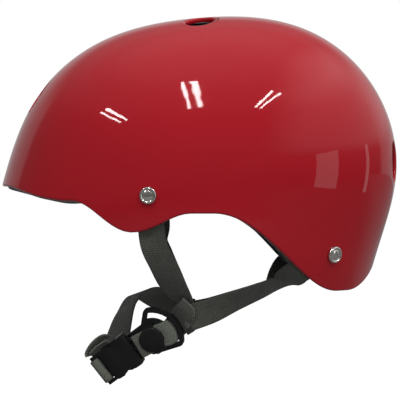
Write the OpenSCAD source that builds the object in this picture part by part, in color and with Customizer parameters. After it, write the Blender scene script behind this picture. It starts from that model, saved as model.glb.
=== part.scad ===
// Skate and multi-sport helmet: a glossy moulded shell over a foam liner, with comfort pads
// inside and a riveted webbing harness that closes under the chin with a side-release buckle.
// Millimetres, +Z up, the brow towards -Y and the wearer's left towards +X.
// The origin is the middle of the headband plane, where the wearer's head sits.

/* [Shell] */
// Length of the shell from brow to nape
shell_length = 280; // [264:1:296]
// Width of the shell from ear to ear
shell_width = 214; // [206:1:224]
// Height of the crown above the headband plane
crown_height = 107; // [102:1:112]
// Depth of the widest level below the headband plane
girth_drop = 10; // [7:1:13]
// Thickness of the moulded wall
shell_wall = 3; // [2.6:0.1:3.4]
// Depth of the rim below the headband plane at the brow
brow_depth = 15; // [13:0.5:17]
// Depth of the rim at the corner of the brow
corner_depth = 25.5; // [23:0.5:28]
// Depth of the rim at the temple
temple_depth = 46.5; // [44:0.5:49]
// Depth of the rim in the arch over the ear
ear_depth = 34; // [31:0.5:37]
// Depth of the rim at the lobe behind the ear
lobe_depth = 87; // [84:0.5:90]
// Depth of the rim at the middle of the nape
nape_depth = 71; // [68:0.5:74]

/* [Vents] */
// Long axis of a vent
vent_length = 27.5; // [25:0.5:28]
// Short axis of a vent
vent_width = 20; // [18:0.5:22]
// Depth of the turned-in lip below the inside of the wall
lip_depth = 4; // [3:0.5:6]
// Thickness of the turned-in lip
lip_wall = 2; // [1.6:0.2:2.4]
// Width of the rounded edge round a vent
vent_flare = 1.5; // [1:0.25:2]

/* [Liner and pads] */
// Foam thickness at the brow and the nape
foam_end = 26; // [23:1:28]
// Foam thickness at the sides
foam_side = 18; // [16:1:21]
// Foam thickness at the crown
foam_top = 25; // [22:1:28]
// Thickness of a comfort pad
pad_thickness = 8; // [6:0.5:10]
// Diameter of a hook disc that holds a pad
hook_d = 12; // [10:1:13]

/* [Harness] */
// Width of the webbing
webbing_width = 18; // [16:0.5:19]
// Thickness of the webbing
webbing_thickness = 1.4; // [1.2:0.1:1.6]
// Diameter of a rivet head
rivet_head_d = 11.6; // [10.5:0.1:12.5]
// Diameter of a rivet shank
rivet_shank_d = 5; // [4.5:0.1:5.5]
// Diameter of the washer behind the webbing
washer_d = 13; // [12:0.5:14]
// Thickness of the washer behind the webbing
washer_t = 1; // [0.8:0.1:1.2]
// Room between the shell and the flat webbing where the shell curves
webbing_gap = 1.4; // [1.3:0.1:1.7]
// Position of the front rivet behind the middle of the shell
front_rivet_y = -34; // [-37:0.5:-31]
// Height of the front rivet
front_rivet_z = -22; // [-24:0.5:-20]
// Position of the rear rivet behind the middle of the shell
rear_rivet_y = 90; // [88:0.5:92]
// Height of the rear rivet
rear_rivet_z = -61.5; // [-63:0.5:-60]

/* [Buckle] */
// Width of the ring end of the buckle
ring_width = 34.5; // [33.5:0.5:36]
// Width of the ring's rim
ring_rim = 3.2; // [2.8:0.1:3.6]
// Thickness of the ring and its deck
deck_t = 3.4; // [3:0.1:3.8]
// Width of the socket half
socket_width = 24.5; // [24:0.5:27]
// Length of the socket half's housing
socket_length = 23; // [22:0.5:25]
// Thickness of the socket half
socket_t = 9.6; // [9:0.2:10.4]
// Wall of the socket half
socket_wall = 1.8; // [1.5:0.1:2.1]
// Thickness of a latch prong
prong_t = 3; // [2.6:0.1:3.2]

/* [Hidden] */

shell_red = [0.66, 0.07, 0.11];
foam_black = [0.08, 0.08, 0.08];
pad_grey = [0.16, 0.16, 0.17];
webbing_grey = [0.25, 0.26, 0.23];
nickel = [0.72, 0.72, 0.70];
buckle_black = [0.07, 0.07, 0.07];

// The dome is star-shaped about this point.
dome_centre = [0, 0, -girth_drop];
half_length = shell_length / 2;
half_width = shell_width / 2;
half_height = crown_height + girth_drop;
// How square the cross-section is: 2 is an ellipse.
bulge = 2.15;
// Side outline: how full it is every 30 degrees, from the back over the crown to the brow.
outline_fullness = [0.99, 1.04, 1.08, 0.95, 0.98, 0.96, 0.95, 1.20, 1.38, 1.43, 1.30, 0.95];
outline_step = 360 / len(outline_fullness);

// Rim: heading from the brow round to the nape, and depth there.
rim_stations = [[0, brow_depth], [12, brow_depth], [46, corner_depth], [66, temple_depth],
                [87, ear_depth], [95, ear_depth], [146, lobe_depth], [152, lobe_depth],
                [180, nape_depth]];

// Vents: heading and elevation of each, seen from the middle of the dome.
vents = [[-8.5, 27], [8.5, 27], [0, 62.5], [180, 64], [-90, 73.5], [90, 73.5],
         [180, 38.5], [-170, 5], [170, 5]];
oval_sides = 24;

skin_columns = 64;
skin_rows = 13;
liner_columns = 48;
liner_rows = 14;
fit = 0.8;          // room between the faceted shell and the liner in it
small_fit = 0.1;    // gap round a shank or in a slot
overrun = 1;        // how far a cutter runs past the face it cuts
round_fn = 32;

// Curves
function cubic(f, a, b, c, d) = (pow(1 - f, 3) * a + (3 * pow(f, 3) - 6 * f * f + 4) * b
    + (-3 * pow(f, 3) + 3 * f * f + 3 * f + 1) * c + pow(f, 3) * d) / 6;
function ring_item(list, i) = list[(i + len(list)) % len(list)];
function fullness(angle) =
    let (t = (angle + 360) % 360 / outline_step, i = floor(t), s = outline_fullness)
    cubic(t - i, ring_item(s, i - 1), ring_item(s, i), ring_item(s, i + 1), ring_item(s, i + 2));
function unit(v) = v / norm(v);

// The dome: how far a direction reaches the outer skin, and the skin's normal.
function level(d) =
    let (y = d.y / half_length, z = d.z / half_height)
    pow(pow(abs(d.x) / half_width, bulge) + pow(norm([y, z]) / fullness(atan2(z, y)), bulge),
        1 / bulge);
function heading(az, el) = [sin(az) * cos(el), -cos(az) * cos(el), sin(el)];
function skin_at(d) = dome_centre + d / level(d);
function normal_at(p) =
    let (q = p - dome_centre, h = 0.5)
    unit([level(q + [h, 0, 0]) - level(q - [h, 0, 0]),
          level(q + [0, h, 0]) - level(q - [0, h, 0]),
          level(q + [0, 0, h]) - level(q - [0, 0, h])]);
function foam_at(d) =
    let (u = unit(d), flat = max(norm([u.x, u.y]), 0.001),
         round_share = pow(u.y / flat, 2), top_share = pow(max(u.z, 0), 2))
    (foam_side + (foam_end - foam_side) * round_share) * (1 - top_share) + foam_top * top_share;
// A point under the skin: inset in millimetres, plus a share of the foam's thickness.
function under(d, inset, share) =
    let (p = skin_at(d)) p - (inset + share * foam_at(d)) * normal_at(p);
// The point of the skin that a side view shows at y, z.
function side_skin(side, y, z) =
    let (v = (z + girth_drop) / half_height, u = y / half_length,
         rho = norm([u, v]) / fullness(atan2(v, u)))
    [side * half_width * pow(max(1 - pow(rho, bulge), 0), 1 / bulge), y, z];
function side_under(side, y, z, inset) =
    let (p = side_skin(side, y, z)) p - inset * normal_at(p);

// The rim
function ease(k) = (1 - cos(180 * min(max(k, 0), 1))) / 2;
function rim_depth(a, i = 0) =
    a <= rim_stations[i + 1][0] || i == len(rim_stations) - 2
    ? rim_stations[i][1] + (rim_stations[i + 1][1] - rim_stations[i][1])
        * ease((a - rim_stations[i][0]) / (rim_stations[i + 1][0] - rim_stations[i][0]))
    : rim_depth(a, i + 1);
function rim_turn(az) = abs(az > 180 ? az - 360 : az);
function rim_elevation(az, raise, low = -60, high = 10, turns = 16) =
    let (mid = (low + high) / 2)
    turns == 0 ? mid
    : skin_at(heading(az, mid)).z < raise - rim_depth(rim_turn(az))
        ? rim_elevation(az, raise, mid, high, turns - 1)
        : rim_elevation(az, raise, low, mid, turns - 1);

// One skin of the dome: rows of points from the rim to the pole, then the pole.
function dome_skin(columns, rows, rims, inset, share) = concat(
    [for (r = [0 : rows - 1], c = [0 : columns - 1])
        under(heading(360 * c / columns, rims[c] + (90 - rims[c]) * r / rows), inset, share)],
    [under([0, 0, 1], inset, share)]);
function rim_list(columns, raise_sides, raise_brow) =
    [for (c = [0 : columns - 1])
        let (az = 360 * c / columns, brow = ease((60 - rim_turn(az)) / 30))
        rim_elevation(az, raise_sides + (raise_brow - raise_sides) * brow)];
function skin_faces(columns, rows, first, outward) =
    let (pole = first + columns * rows)
    [for (r = [0 : rows - 1], c = [0 : columns - 1])
        let (a = first + r * columns + c, b = first + r * columns + (c + 1) % columns)
        each r == rows - 1 ? [outward ? [a, pole, b] : [a, b, pole]]
            : outward ? [[a, a + columns, b + columns], [a, b + columns, b]]
                      : [[a, b + columns, a + columns], [a, b, b + columns]]];

module dome_layer(columns, rows, rims, outer, inner) {
    count = columns * rows + 1;
    rim_band = [for (c = [0 : columns - 1])
        let (n = (c + 1) % columns)
        each [[c, n, n + count], [c, n + count, c + count]]];
    polyhedron(
        points = concat(dome_skin(columns, rows, rims, outer[0], outer[1]),
                        dome_skin(columns, rows, rims, inner[0], inner[1])),
        faces = concat(skin_faces(columns, rows, 0, true), rim_band,
                       skin_faces(columns, rows, count, false)));
}

// Everything inside the outer skin, closed by a fan under the rim.
module dome_solid(columns, rows, rims) {
    count = columns * rows + 1;
    polyhedron(
        points = concat(dome_skin(columns, rows, rims, 0, 0), [[0, 0, -lobe_depth / 2]]),
        faces = concat(skin_faces(columns, rows, 0, true),
                       [for (c = [0 : columns - 1]) [c, (c + 1) % columns, count]]));
}

// Stands its children at a point, their +Z along a direction and their +Y up the shell.
module stand_at(p, n) {
    side = unit(cross([0, 0, 1], n));
    up = cross(n, side);
    multmatrix([[side.x, up.x, n.x, p.x], [side.y, up.y, n.y, p.y], [side.z, up.z, n.z, p.z],
                [0, 0, 0, 1]])
        children();
}
module on_skin(p) {
    stand_at(p, normal_at(p)) children();
}

module at_vents() {
    for (v = vents) on_skin(skin_at(heading(v[0], v[1]))) children();
}

// A straight or flared oval block from depth down to height up, grown all round.
module oval_block(low, high, low_grow, high_grow) {
    hull() for (end = [[low, low_grow], [high, high_grow]])
        translate([0, 0, end[0]])
            linear_extrude(0.01)
                polygon([for (k = [0 : oval_sides - 1])
                    let (a = 360 * k / oval_sides)
                    [(vent_width / 2 + end[1]) * cos(a), (vent_length / 2 + end[1]) * sin(a)]]);
}

function rivet_place(side, rear) =
    side_skin(side, rear ? rear_rivet_y : front_rivet_y, rear ? rear_rivet_z : front_rivet_z);

module at_rivets() {
    for (side = [-1, 1], rear = [false, true]) on_skin(rivet_place(side, rear)) children();
}

// Shell: moulded in one piece, with each vent's edge turned in towards the liner.
module outer_shell() {
    rims = rim_list(skin_columns, 0, 0);
    hole_d = rivet_shank_d + 2 * small_fit + 0.1;
    color(shell_red) difference() {
        union() {
            dome_layer(skin_columns, skin_rows, rims, [0, 0], [shell_wall, 0]);
            intersection() {
                dome_solid(skin_columns, skin_rows, rims);
                at_vents() oval_block(-shell_wall - lip_depth, overrun, lip_wall, lip_wall);
            }
        }
        at_vents() {
            oval_block(-shell_wall - lip_depth - overrun, overrun, 0, 0);
            oval_block(-shell_wall, overrun, 0, vent_flare);
        }
        at_rivets() cylinder(h = 4 * shell_wall, d = hole_d, center = true, $fn = round_fn);
    }
}

// Liner: expanded foam with the shell's vents, and channels that the webbing lies in.
channel_depth = webbing_gap + webbing_thickness + 1;
pocket_depth = webbing_gap + webbing_thickness + washer_t + 2.5;
module channel_block(side, y, z) {
    on_skin(side_skin(side, y, z))
        translate([0, 0, -shell_wall - channel_depth / 2])
            cube([0.6 * webbing_width, 0.6 * webbing_width, channel_depth], center = true);
}
module strap_channel(side, route) {
    for (i = [0 : len(route) - 2]) hull() {
        channel_block(side, route[i][0], route[i][1]);
        channel_block(side, route[i + 1][0], route[i + 1][1]);
    }
}

module foam_liner() {
    rims = rim_list(liner_columns, 2.5, -1);
    seat = shell_wall + fit;
    through = shell_wall + foam_end + foam_top;
    color(foam_black) difference() {
        dome_layer(liner_columns, liner_rows, rims, [seat, 0], [seat, 1]);
        at_vents() oval_block(-through, overrun, lip_wall + fit, lip_wall + fit);
        for (side = [-1, 1]) {
            for (shift = [-1, 1]) {
                strap_channel(side, [for (p = front_route)
                    p + shift * webbing_width * [0.28, 0, 0]]);
                strap_channel(side, [for (p = rear_route)
                    p + shift * webbing_width * [-0.15, 0.25, 0]]);
            }
        }
        at_rivets() translate([0, 0, -shell_wall - pocket_depth])
            cylinder(h = pocket_depth + overrun, d = washer_d + 4, $fn = round_fn);
    }
}

// Pads: fabric-covered foam cushions, thick in the middle and drawn in at the edge.
pad_gap = 2.1;      // room behind a pad for its hook discs
pad_edge = 0.3;     // share of a pad's thickness left at its edge
pad_rings = 4;
pad_sides = 20;
// Each pad: heading and elevation of its middle, half its width and half its height in degrees,
// and the way its two hook discs lie from its middle.
pads = [[0, 10, 38, 9, 0], [180, -5, 34, 11, 0], [90, 12, 22, 10, 0], [270, 12, 22, 10, 0],
        [0, 90, 8, 17, 90]];

function pad_direction(pad, r, a) =
    let (c = heading(pad[0], pad[1]), side = heading(pad[0] + 90, 0), up = cross(side, c),
         round = pow(pow(abs(cos(a)), 3) + pow(abs(sin(a)), 3), -1 / 3))
    c + r * round * (cos(a) * tan(pad[2]) * side + sin(a) * tan(pad[3]) * up);
function pad_skin(pad, back) = concat(
    [for (k = [1 : pad_rings], s = [0 : pad_sides - 1])
        let (r = k / pad_rings, d = pad_direction(pad, r, 360 * s / pad_sides),
             rise = back ? 0.12 * pow(r, 6)
                    : pad_edge + (1 - pad_edge) * pow(1 - pow(r, 4), 0.5))
        under(d, shell_wall + fit + pad_gap + pad_thickness * rise, 1)],
    [under(pad_direction(pad, 0, 0), shell_wall + fit + pad_gap + (back ? 0 : pad_thickness), 1)]);

module pad(index) {
    count = pad_rings * pad_sides;
    points = concat(pad_skin(pads[index], true), pad_skin(pads[index], false));
    other = count + 1;
    faces = concat(
        [for (s = [0 : pad_sides - 1]) let (n = (s + 1) % pad_sides) each
            [[count, s, n], [other + count, other + n, other + s]]],
        [for (k = [0 : pad_rings - 2], s = [0 : pad_sides - 1])
            let (n = (s + 1) % pad_sides, a = k * pad_sides + s, b = k * pad_sides + n,
                 c = a + pad_sides, d = b + pad_sides)
            each [[a, c, d], [a, d, b], [other + a, other + d, other + c],
                  [other + a, other + b, other + d]]],
        [for (s = [0 : pad_sides - 1])
            let (n = (s + 1) % pad_sides, a = count - pad_sides + s, b = count - pad_sides + n)
            each [[a, other + a, other + b], [a, other + b, b]]]);
    color(pad_grey) polyhedron(points = points, faces = faces);
}
module brow_pad() { pad(0); }
module nape_pad() { pad(1); }
module side_pad_left() { pad(2); }
module side_pad_right() { pad(3); }
module crown_pad() { pad(4); }

// Hook discs: stuck to the liner, two behind each pad.
disc_t = 0.8;
function inner_normal(d) =
    let (u = unit(d), side = unit(cross([0, 0, 1], u)), up = cross(u, side), step = 0.04,
         inset = shell_wall + fit)
    unit(cross(under(u + step * side, inset, 1) - under(u - step * side, inset, 1),
               under(u + step * up, inset, 1) - under(u - step * up, inset, 1)));
module pad_hook_discs() {
    color(foam_black) for (p = pads, end = [0, 180]) {
        d = pad_direction(p, 0.5, p[4] + end);
        n = inner_normal(d);
        stand_at(under(d, shell_wall + fit, 1) - (pad_gap - small_fit) * n, n)
            cylinder(h = disc_t, d = hook_d, $fn = round_fn);
    }
}

// Rivets: a domed head with a raised rim outside, a shank through shell and webbing,
// and an end rolled over the washer.
roll_t = 0.9;
grip = shell_wall + webbing_gap + webbing_thickness + washer_t + 6 * small_fit;
module rivet(side, rear) {
    r = rivet_head_d / 2;
    color(nickel) on_skin(rivet_place(side, rear)) {
        translate([0, 0, small_fit]) rotate_extrude($fn = 96)
            polygon(concat([[0, 0], [r, 0], [r, 0.5]],
                [for (a = [15 : 15 : 75]) [r - 1.5 + 1.5 * cos(a), 0.5 + 1.7 * sin(a)]],
                [[r - 1.6, 2.2], [r - 2.1, 1.8], [r - 3.2, 2.1], [0, 2.4]]));
        translate([0, 0, -grip - roll_t])
            cylinder(h = grip + roll_t + 2 * small_fit, d = rivet_shank_d, $fn = 96);
        translate([0, 0, -grip - roll_t])
            cylinder(h = roll_t, d = rivet_shank_d + 2.4, $fn = 96);
    }
}
module rivet_front_left() { rivet(1, false); }
module rivet_front_right() { rivet(-1, false); }
module rivet_rear_left() { rivet(1, true); }
module rivet_rear_right() { rivet(-1, true); }

module rivet_washers() {
    color(nickel) at_rivets() translate([0, 0, -grip + small_fit / 2])
        difference() {
            cylinder(h = washer_t, d = washer_d, $fn = 96);
            translate([0, 0, -overrun])
                cylinder(h = washer_t + 2 * overrun, d = rivet_shank_d + 2 * small_fit, $fn = 96);
        }
}

// Webbing: a flat band swept through stations, each a middle point and the way its width lies.
steps_per_span = 3;
function bend(f, a, b, c, d) = 0.5 * (2 * b + (c - a) * f
    + (2 * a - 5 * b + 4 * c - d) * f * f + (3 * b - a - 3 * c + d) * pow(f, 3));
function station(route, i) = route[min(max(i, 0), len(route) - 1)];
function route_point(route, i, f, part) = bend(f, station(route, i - 1)[part],
    station(route, i)[part], station(route, i + 1)[part], station(route, i + 2)[part]);
function fine_route(route) = concat(
    [for (i = [0 : len(route) - 2], s = [0 : steps_per_span - 1])
        [for (part = [0 : len(route[0]) - 1]) route_point(route, i, s / steps_per_span, part)]],
    [station(route, len(route))]);
// A station's third part, where it has one, is how far the band's edges lead its middle there.
function lead(fine, k, f) = len(fine[k]) > 2 ? f * f * fine[k][2] : [0, 0, 0];
function band_ring(fine, k, width, thick, strips) =
    let (way = unit(station(fine, k + 1)[0] - station(fine, k - 1)[0]),
         face = unit(cross(way, fine[k][1])), across = cross(face, way), p = fine[k][0],
         w = across * width / 2, t = face * thick / 2)
    [for (side = [-1, 1], i = [0 : strips])
        let (f = side * (1 - 2 * i / strips)) p + f * w + side * t + lead(fine, k, f)];

module band(route, width = webbing_width, strips = 1) {
    fine = fine_route(route);
    ring = 2 * strips + 2;
    last = ring * (len(fine) - 1);
    points = [for (k = [0 : len(fine) - 1])
        each band_ring(fine, k, width, webbing_thickness, strips)];
    faces = concat(
        [for (i = [0 : strips - 1], end = [0, 1])
            let (a = i, b = i + 1, c = ring - 2 - i, d = ring - 1 - i)
            each end == 0 ? [[a, b, c], [a, c, d]]
                          : [[last + c, last + b, last + a], [last + d, last + c, last + a]]],
        [for (k = [0 : len(fine) - 2], e = [0 : ring - 1])
            let (a = ring * k + e, b = ring * k + (e + 1) % ring)
            each e > strips && e < ring - 1 ? [[b, a, b + ring], [a, a + ring, b + ring]]
                                            : [[b, a, a + ring], [b, a + ring, b + ring]]]);
    color(webbing_grey) polyhedron(points = points, faces = faces);
}

// Stations under the shell lie flat against its inside; the others hang free.
webbing_inset = shell_wall + webbing_gap + webbing_thickness / 2;
function lie(side, places) =
    let (points = [for (p = places) side_under(side, p[0], p[1], webbing_inset + p[2])],
         last = len(points) - 1)
    [for (i = [0 : last])
        let (way = points[min(i + 1, last)] - points[max(i - 1, 0)],
             n = normal_at(side_skin(side, places[i][0], places[i][1])))
        [points[i], side * unit(cross(n, way))]];
function hang(side, p, across) =
    [[side * p.x, p.y, p.z], [side * across.x, across.y, across.z]];

// Where the webbing runs under the shell: side-view places from its hidden end to the rim,
// and how much further each stands off the shell.
front_route = [[front_rivet_y - 1, front_rivet_z + 12, 0], [front_rivet_y, front_rivet_z, 0],
               [front_rivet_y + 1, -35, 0], [front_rivet_y + 1.5, -46, 0]];
rear_route = [[rear_rivet_y + 9, rear_rivet_z + 5.5, 0], [rear_rivet_y, rear_rivet_z, 0],
              [rear_rivet_y - 11, rear_rivet_z - 6.5, 0.2],
              [rear_rivet_y - 22, rear_rivet_z - 13, 0.8]];

module strap_hole(side, rear) {
    difference() {
        children();
        on_skin(rivet_place(side, rear))
            cylinder(h = 20, d = rivet_shank_d + 2 * small_fit, center = true, $fn = 96);
    }
}

module front_strap(side) {
    route = concat(lie(side, front_route),
        [hang(side, [96.5, -30, -56], [0, 0.94, 0.34]),
         hang(side, [91, -25, -67], [0.05, 0.9, 0.42]),
         hang(side, [84, -20, -78], [0.25, 0.85, 0.4]),
         hang(side, [76.5, -14.5, -88], [0.7, 0.65, 0.35]),
         hang(side, [70.4, -9, -95.5], [0.95, 0.3, 0.2])]);
    color(webbing_grey) strap_hole(side, false) band(route);
}
module front_strap_left() { front_strap(1); }
module front_strap_right() { front_strap(-1); }

module rear_strap(side) {
    route = concat(lie(side, rear_route),
        [hang(side, [67.8, 55, -80], [-0.86, 0.18, -0.48]),
         hang(side, [71, 42, -85.5], [-0.79, 0.22, -0.57]),
         hang(side, [75.5, 24, -92.5], [-0.63, 0.29, -0.72]),
         hang(side, [78.9, 8, -99], [-0.33, 0.36, -0.87]),
         hang(side, [80.2, -6, -104], [0.03, 0.37, -0.93])]);
    color(webbing_grey) strap_hole(side, true) band(route);
}
module rear_strap_left() { rear_strap(1); }
module rear_strap_right() { rear_strap(-1); }

// Buckle: its own axes run from the ring end along the buckle (+X), down across it (+Y)
// and out of its face (+Z).
buckle_at = [72, -19, -105];
buckle_pitch = 35.5;
buckle_yaw = -18;
buckle_roll = 15;
function turn_x(a) = [[1, 0, 0], [0, cos(a), -sin(a)], [0, sin(a), cos(a)]];
function turn_z(a) = [[cos(a), -sin(a), 0], [sin(a), cos(a), 0], [0, 0, 1]];
buckle_turn = turn_z(buckle_yaw) * turn_x(buckle_pitch) * [[0, 0, 1], [-1, 0, 0], [0, -1, 0]]
    * turn_x(-buckle_roll);
function in_buckle(p) = buckle_at + buckle_turn * p;
function across_buckle(v) = buckle_turn * v;

module at_buckle() {
    t = buckle_turn;
    multmatrix([concat(t[0], buckle_at.x), concat(t[1], buckle_at.y), concat(t[2], buckle_at.z),
                [0, 0, 0, 1]])
        children();
}

deck_end = 33;
mouth = deck_end + 0.4;
housing_end = mouth + socket_length;
bar_r = 2;
bar_x = housing_end + 5.4;
prong_root = [29.5, 5.6];
prong_root_r = 1.6;
prong_tip = 49;

// The ring's arched rim and slot lie round the middle of the thumb plate, and the webbing
// crosses the buckle there, a little slanted.
plate_at = [19, 3];
plate_r = 8.6;
lane_slant = 7;
lane_way = [cos(lane_slant), -sin(lane_slant)];
slot_r = 14;
ring_corner = 4.2;
ring_ends = [-60, 40];
ring_reach = (ring_width - 2 * ring_corner) / (sin(ring_ends[1]) - sin(ring_ends[0]));

module ring_outline(inset = 0) {
    hull() {
        for (a = [ring_ends[0] : 10 : ring_ends[1]])
            translate(plate_at + ring_reach * [-cos(a), sin(a)])
                circle(r = ring_corner - inset, $fn = 32);
        for (p = [[-0.5, -7.5], [3.5, 5.6]])
            translate(plate_at + p) circle(r = ring_corner - inset, $fn = 32);
    }
}

// Male half: a ring with an arched slot for the webbing, a deck, a domed thumb plate that
// bridges the webbing, and the tongue that guides it into the socket.
strap_room = webbing_thickness + 0.7;
plate_half = webbing_width / 2 + 0.7;
module buckle_frame() {
    bridge_z = deck_t / 2 + strap_room;
    color(buckle_black) at_buckle() difference() {
        union() {
            translate([0, 0, -deck_t / 2]) linear_extrude(deck_t) ring_outline();
            translate([20, -9.2, -deck_t / 2]) cube([deck_end - 20, 19.2, deck_t * 0.7]);
            translate(plate_at) rotate(-lane_slant) {
                for (s = [-1, 1]) hull() for (x = [-5, 1]) translate([x, s * plate_half, 0])
                    cylinder(h = bridge_z + 1, r = 0.8, $fn = 16);
                translate([-5.8, -plate_half, bridge_z]) cube([7.6, 2 * plate_half, 1]);
                translate([0, 0, bridge_z]) hull() {
                    cylinder(h = 1, r = plate_r, $fn = 64);
                    cylinder(h = 1.9, r = 0.93 * plate_r, $fn = 64);
                    cylinder(h = 2.7, r = 0.6 * plate_r, $fn = 64);
                }
            }
            translate([deck_end - 1, -2.6, -1.2]) cube([16, 5.2, 2.4]);
        }
        translate([0, 0, -deck_t]) linear_extrude(2 * deck_t) difference() {
            ring_outline(ring_rim);
            translate(plate_at) circle(r = slot_r, $fn = 96);
        }
        for (s = [-1, 1]) translate([prong_root.x, s * prong_root.y, -deck_t])
            cylinder(h = 2 * deck_t, r = prong_root_r + small_fit, $fn = 48);
        for (s = [-1, 1]) translate([prong_root.x, s * (prong_root.y + 0.6) - 2.3, -deck_t])
            cube([8, 4.6, 2 * deck_t]);
    }
}

// Latch prongs: a root, a springy arm and a barb that fills the socket's side window.
module buckle_prong(s) {
    color(buckle_black) at_buckle() mirror([0, s < 0 ? 1 : 0, 0])
        translate([0, 0, -prong_t / 2]) linear_extrude(prong_t) union() {
            translate(prong_root) circle(r = prong_root_r, $fn = 48);
            polygon([[prong_root.x, 4.6], [39, 5.6], [prong_tip, 6.8], [prong_tip + 0.6, 8],
                     [prong_tip - 1, 9.6], [44, 12], [41.2, 12.2], [41, 9.6], [36, 8],
                     [prong_root.x, 6.8]]);
        }
}
module buckle_prong_upper() { buckle_prong(-1); }
module buckle_prong_lower() { buckle_prong(1); }

// Female half: a hollow housing with side windows, and a loop that the far strap turns round.
module socket_plan(grow = 0) {
    w = socket_width / 2 + grow;
    difference() {
        hull() {
            for (s = [-1, 1]) {
                translate([mouth + 1.5, s * (w - 1.5)]) circle(r = 1.5, $fn = 24);
                translate([housing_end - 3, s * (w - 3.6)]) circle(r = 3, $fn = 24);
            }
        }
        for (s = [-1, 1]) translate([mouth + 11.5, s * (w + 5.4)]) circle(r = 7.4, $fn = 48);
    }
}
module buckle_socket() {
    loop_half = webbing_width / 2 + 2.2;
    color(buckle_black) at_buckle() difference() {
        union() {
            intersection() {
                translate([0, 0, -socket_t / 2]) linear_extrude(socket_t) socket_plan();
                hull() {
                    translate([mouth + 1, -20, -socket_t / 2]) cube([14, 40, socket_t]);
                    translate([mouth, -20, 1.6 - socket_t / 2])
                        cube([socket_length, 40, socket_t - 3.2]);
                }
            }
            for (s = [-1, 1]) hull() {
                translate([housing_end - 3, s * (loop_half - bar_r / 2), 0]) rotate([90, 0, 0])
                    cylinder(h = bar_r, r = bar_r, center = true, $fn = 32);
                translate([bar_x, s * (loop_half - bar_r / 2), 0]) rotate([90, 0, 0])
                    cylinder(h = bar_r, r = bar_r, center = true, $fn = 32);
            }
            translate([bar_x, 0, 0]) rotate([90, 0, 0])
                cylinder(h = 2 * loop_half - bar_r, r = bar_r, center = true, $fn = 32);
        }
        translate([mouth - overrun, -socket_width / 2 + socket_wall, -prong_t / 2 - 0.3])
            cube([18, socket_width - 2 * socket_wall, prong_t + 0.6]);
        translate([mouth + 6.6, -socket_width, -prong_t / 2 - 0.3])
            cube([11, 2 * socket_width, prong_t + 0.6]);
    }
}

// Near chin strap: from the harness joint under the ring's rim, up through the arched slot,
// round the slot's edge, over the deck and under the thumb plate. Distances along it are from
// the middle of the plate, and its edges lead where it follows the arch.
deck_top = deck_t / 2 + small_fit + webbing_thickness / 2;
module chin_strap_left() {
    way = across_buckle([lane_way.x, lane_way.y, 0]);
    w = across_buckle([-lane_way.y, lane_way.x, 0]);
    lay = [[-23.5, -deck_top - 0.8, 0.8], [-20.5, -deck_top - 0.4, 1.7],
           [-18.2, -deck_top - 0.1, 2.1], [-17, -1.6, 2.2], [-16.2, 0.1, 2.3], [-15.6, 1.7, 2.5],
           [-14.3, deck_top + 0.3, 2.6], [-12, deck_top + 0.5, 2.2],
           [-8.5, deck_top + 0.2, 1], [-3, deck_top + 0.1, 0], [4, deck_top + 0.05, 0],
           [12.3, deck_top, 0]];
    route = concat(
        [[[82.1, -4.5, -103], [0, 0.37, -0.93], [0, 0, 0]],
         [[81.6, -10, -104.6], [0, 0.4, -0.92], [0, 0, 0]]],
        [for (q = lay)
            [in_buckle([plate_at.x + q[0] * lane_way.x, plate_at.y + q[0] * lane_way.y, q[1]]),
             w, q[2] * way]]);
    band(route, webbing_width - 1, 6);
}

// Far chin strap: from the far harness joint under the chin to the socket's loop.
loop_back = bar_r + small_fit + webbing_thickness / 2;
module chin_strap_right() {
    w = across_buckle([0, -1, 0]);
    route = [
        [[-82.1, -4.5, -103], [0, -0.37, 0.93]],
        [[-82, -13, -103.5], [0.05, -0.3, 0.95]],
        [[-77, -29, -100], [0.25, 0.25, 0.9]],
        [[-52, -44, -93.5], [0.3, 0.9, 0.35]],
        [[-12, -53, -103], [0, 1, 0]],
        [[20, -57, -118], [0, 1, 0.05]],
        [[38, -58.5, -128.5], [-0.05, 0.9, -0.3]],
        [in_buckle([housing_end - 11, 0, -socket_t / 2 - 2.4]), -w],
        [in_buckle([housing_end - 3.5, 0, -socket_t / 2 - 0.8]), -w],
        [in_buckle([bar_x - 0.7, 0, -loop_back]), -w]];
    band(route);
}

// Tail: turns round the socket's loop, and its spare end stands on edge beside the housing,
// curled back on itself.
module chin_strap_tail() {
    w = across_buckle([0, 1, 0]);
    round_bar = concat(
        [for (a = [-90 : 30 : 90])
            [in_buckle([bar_x + loop_back * cos(a), 0, loop_back * sin(a)]), w]],
        [[in_buckle([bar_x - 2.4, 0, loop_back - 0.9]), w],
         [in_buckle([bar_x - 3.4, 0, 0.2]), w]]);
    curl = [[47, -13.5], [51, -13.9], [56, -13.9], [60.5, -13.5], [63.2, -13.8], [63.9, -15],
            [61.8, -16.4], [57, -18.1], [52, -18.9], [47.5, -18.6], [44.6, -17.3]];
    spare = [for (p = curl) [in_buckle([p.x, p.y, -6.5]), across_buckle([0, 0.15, -1])]];
    band(round_bar);
    band(spare, webbing_width - 4);
}

outer_shell();
foam_liner();
brow_pad();
nape_pad();
side_pad_left();
side_pad_right();
crown_pad();
pad_hook_discs();
rivet_front_left();
rivet_front_right();
rivet_rear_left();
rivet_rear_right();
rivet_washers();
front_strap_left();
front_strap_right();
rear_strap_left();
rear_strap_right();
chin_strap_left();
chin_strap_right();
chin_strap_tail();
buckle_frame();
buckle_prong_upper();
buckle_prong_lower();
buckle_socket();
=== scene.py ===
# Skate and multi-sport helmet: its surfaces and finishes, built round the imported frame.
import math

import bmesh
import bpy
from mathutils import Matrix, Vector
from mathutils.bvhtree import BVHTree


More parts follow.
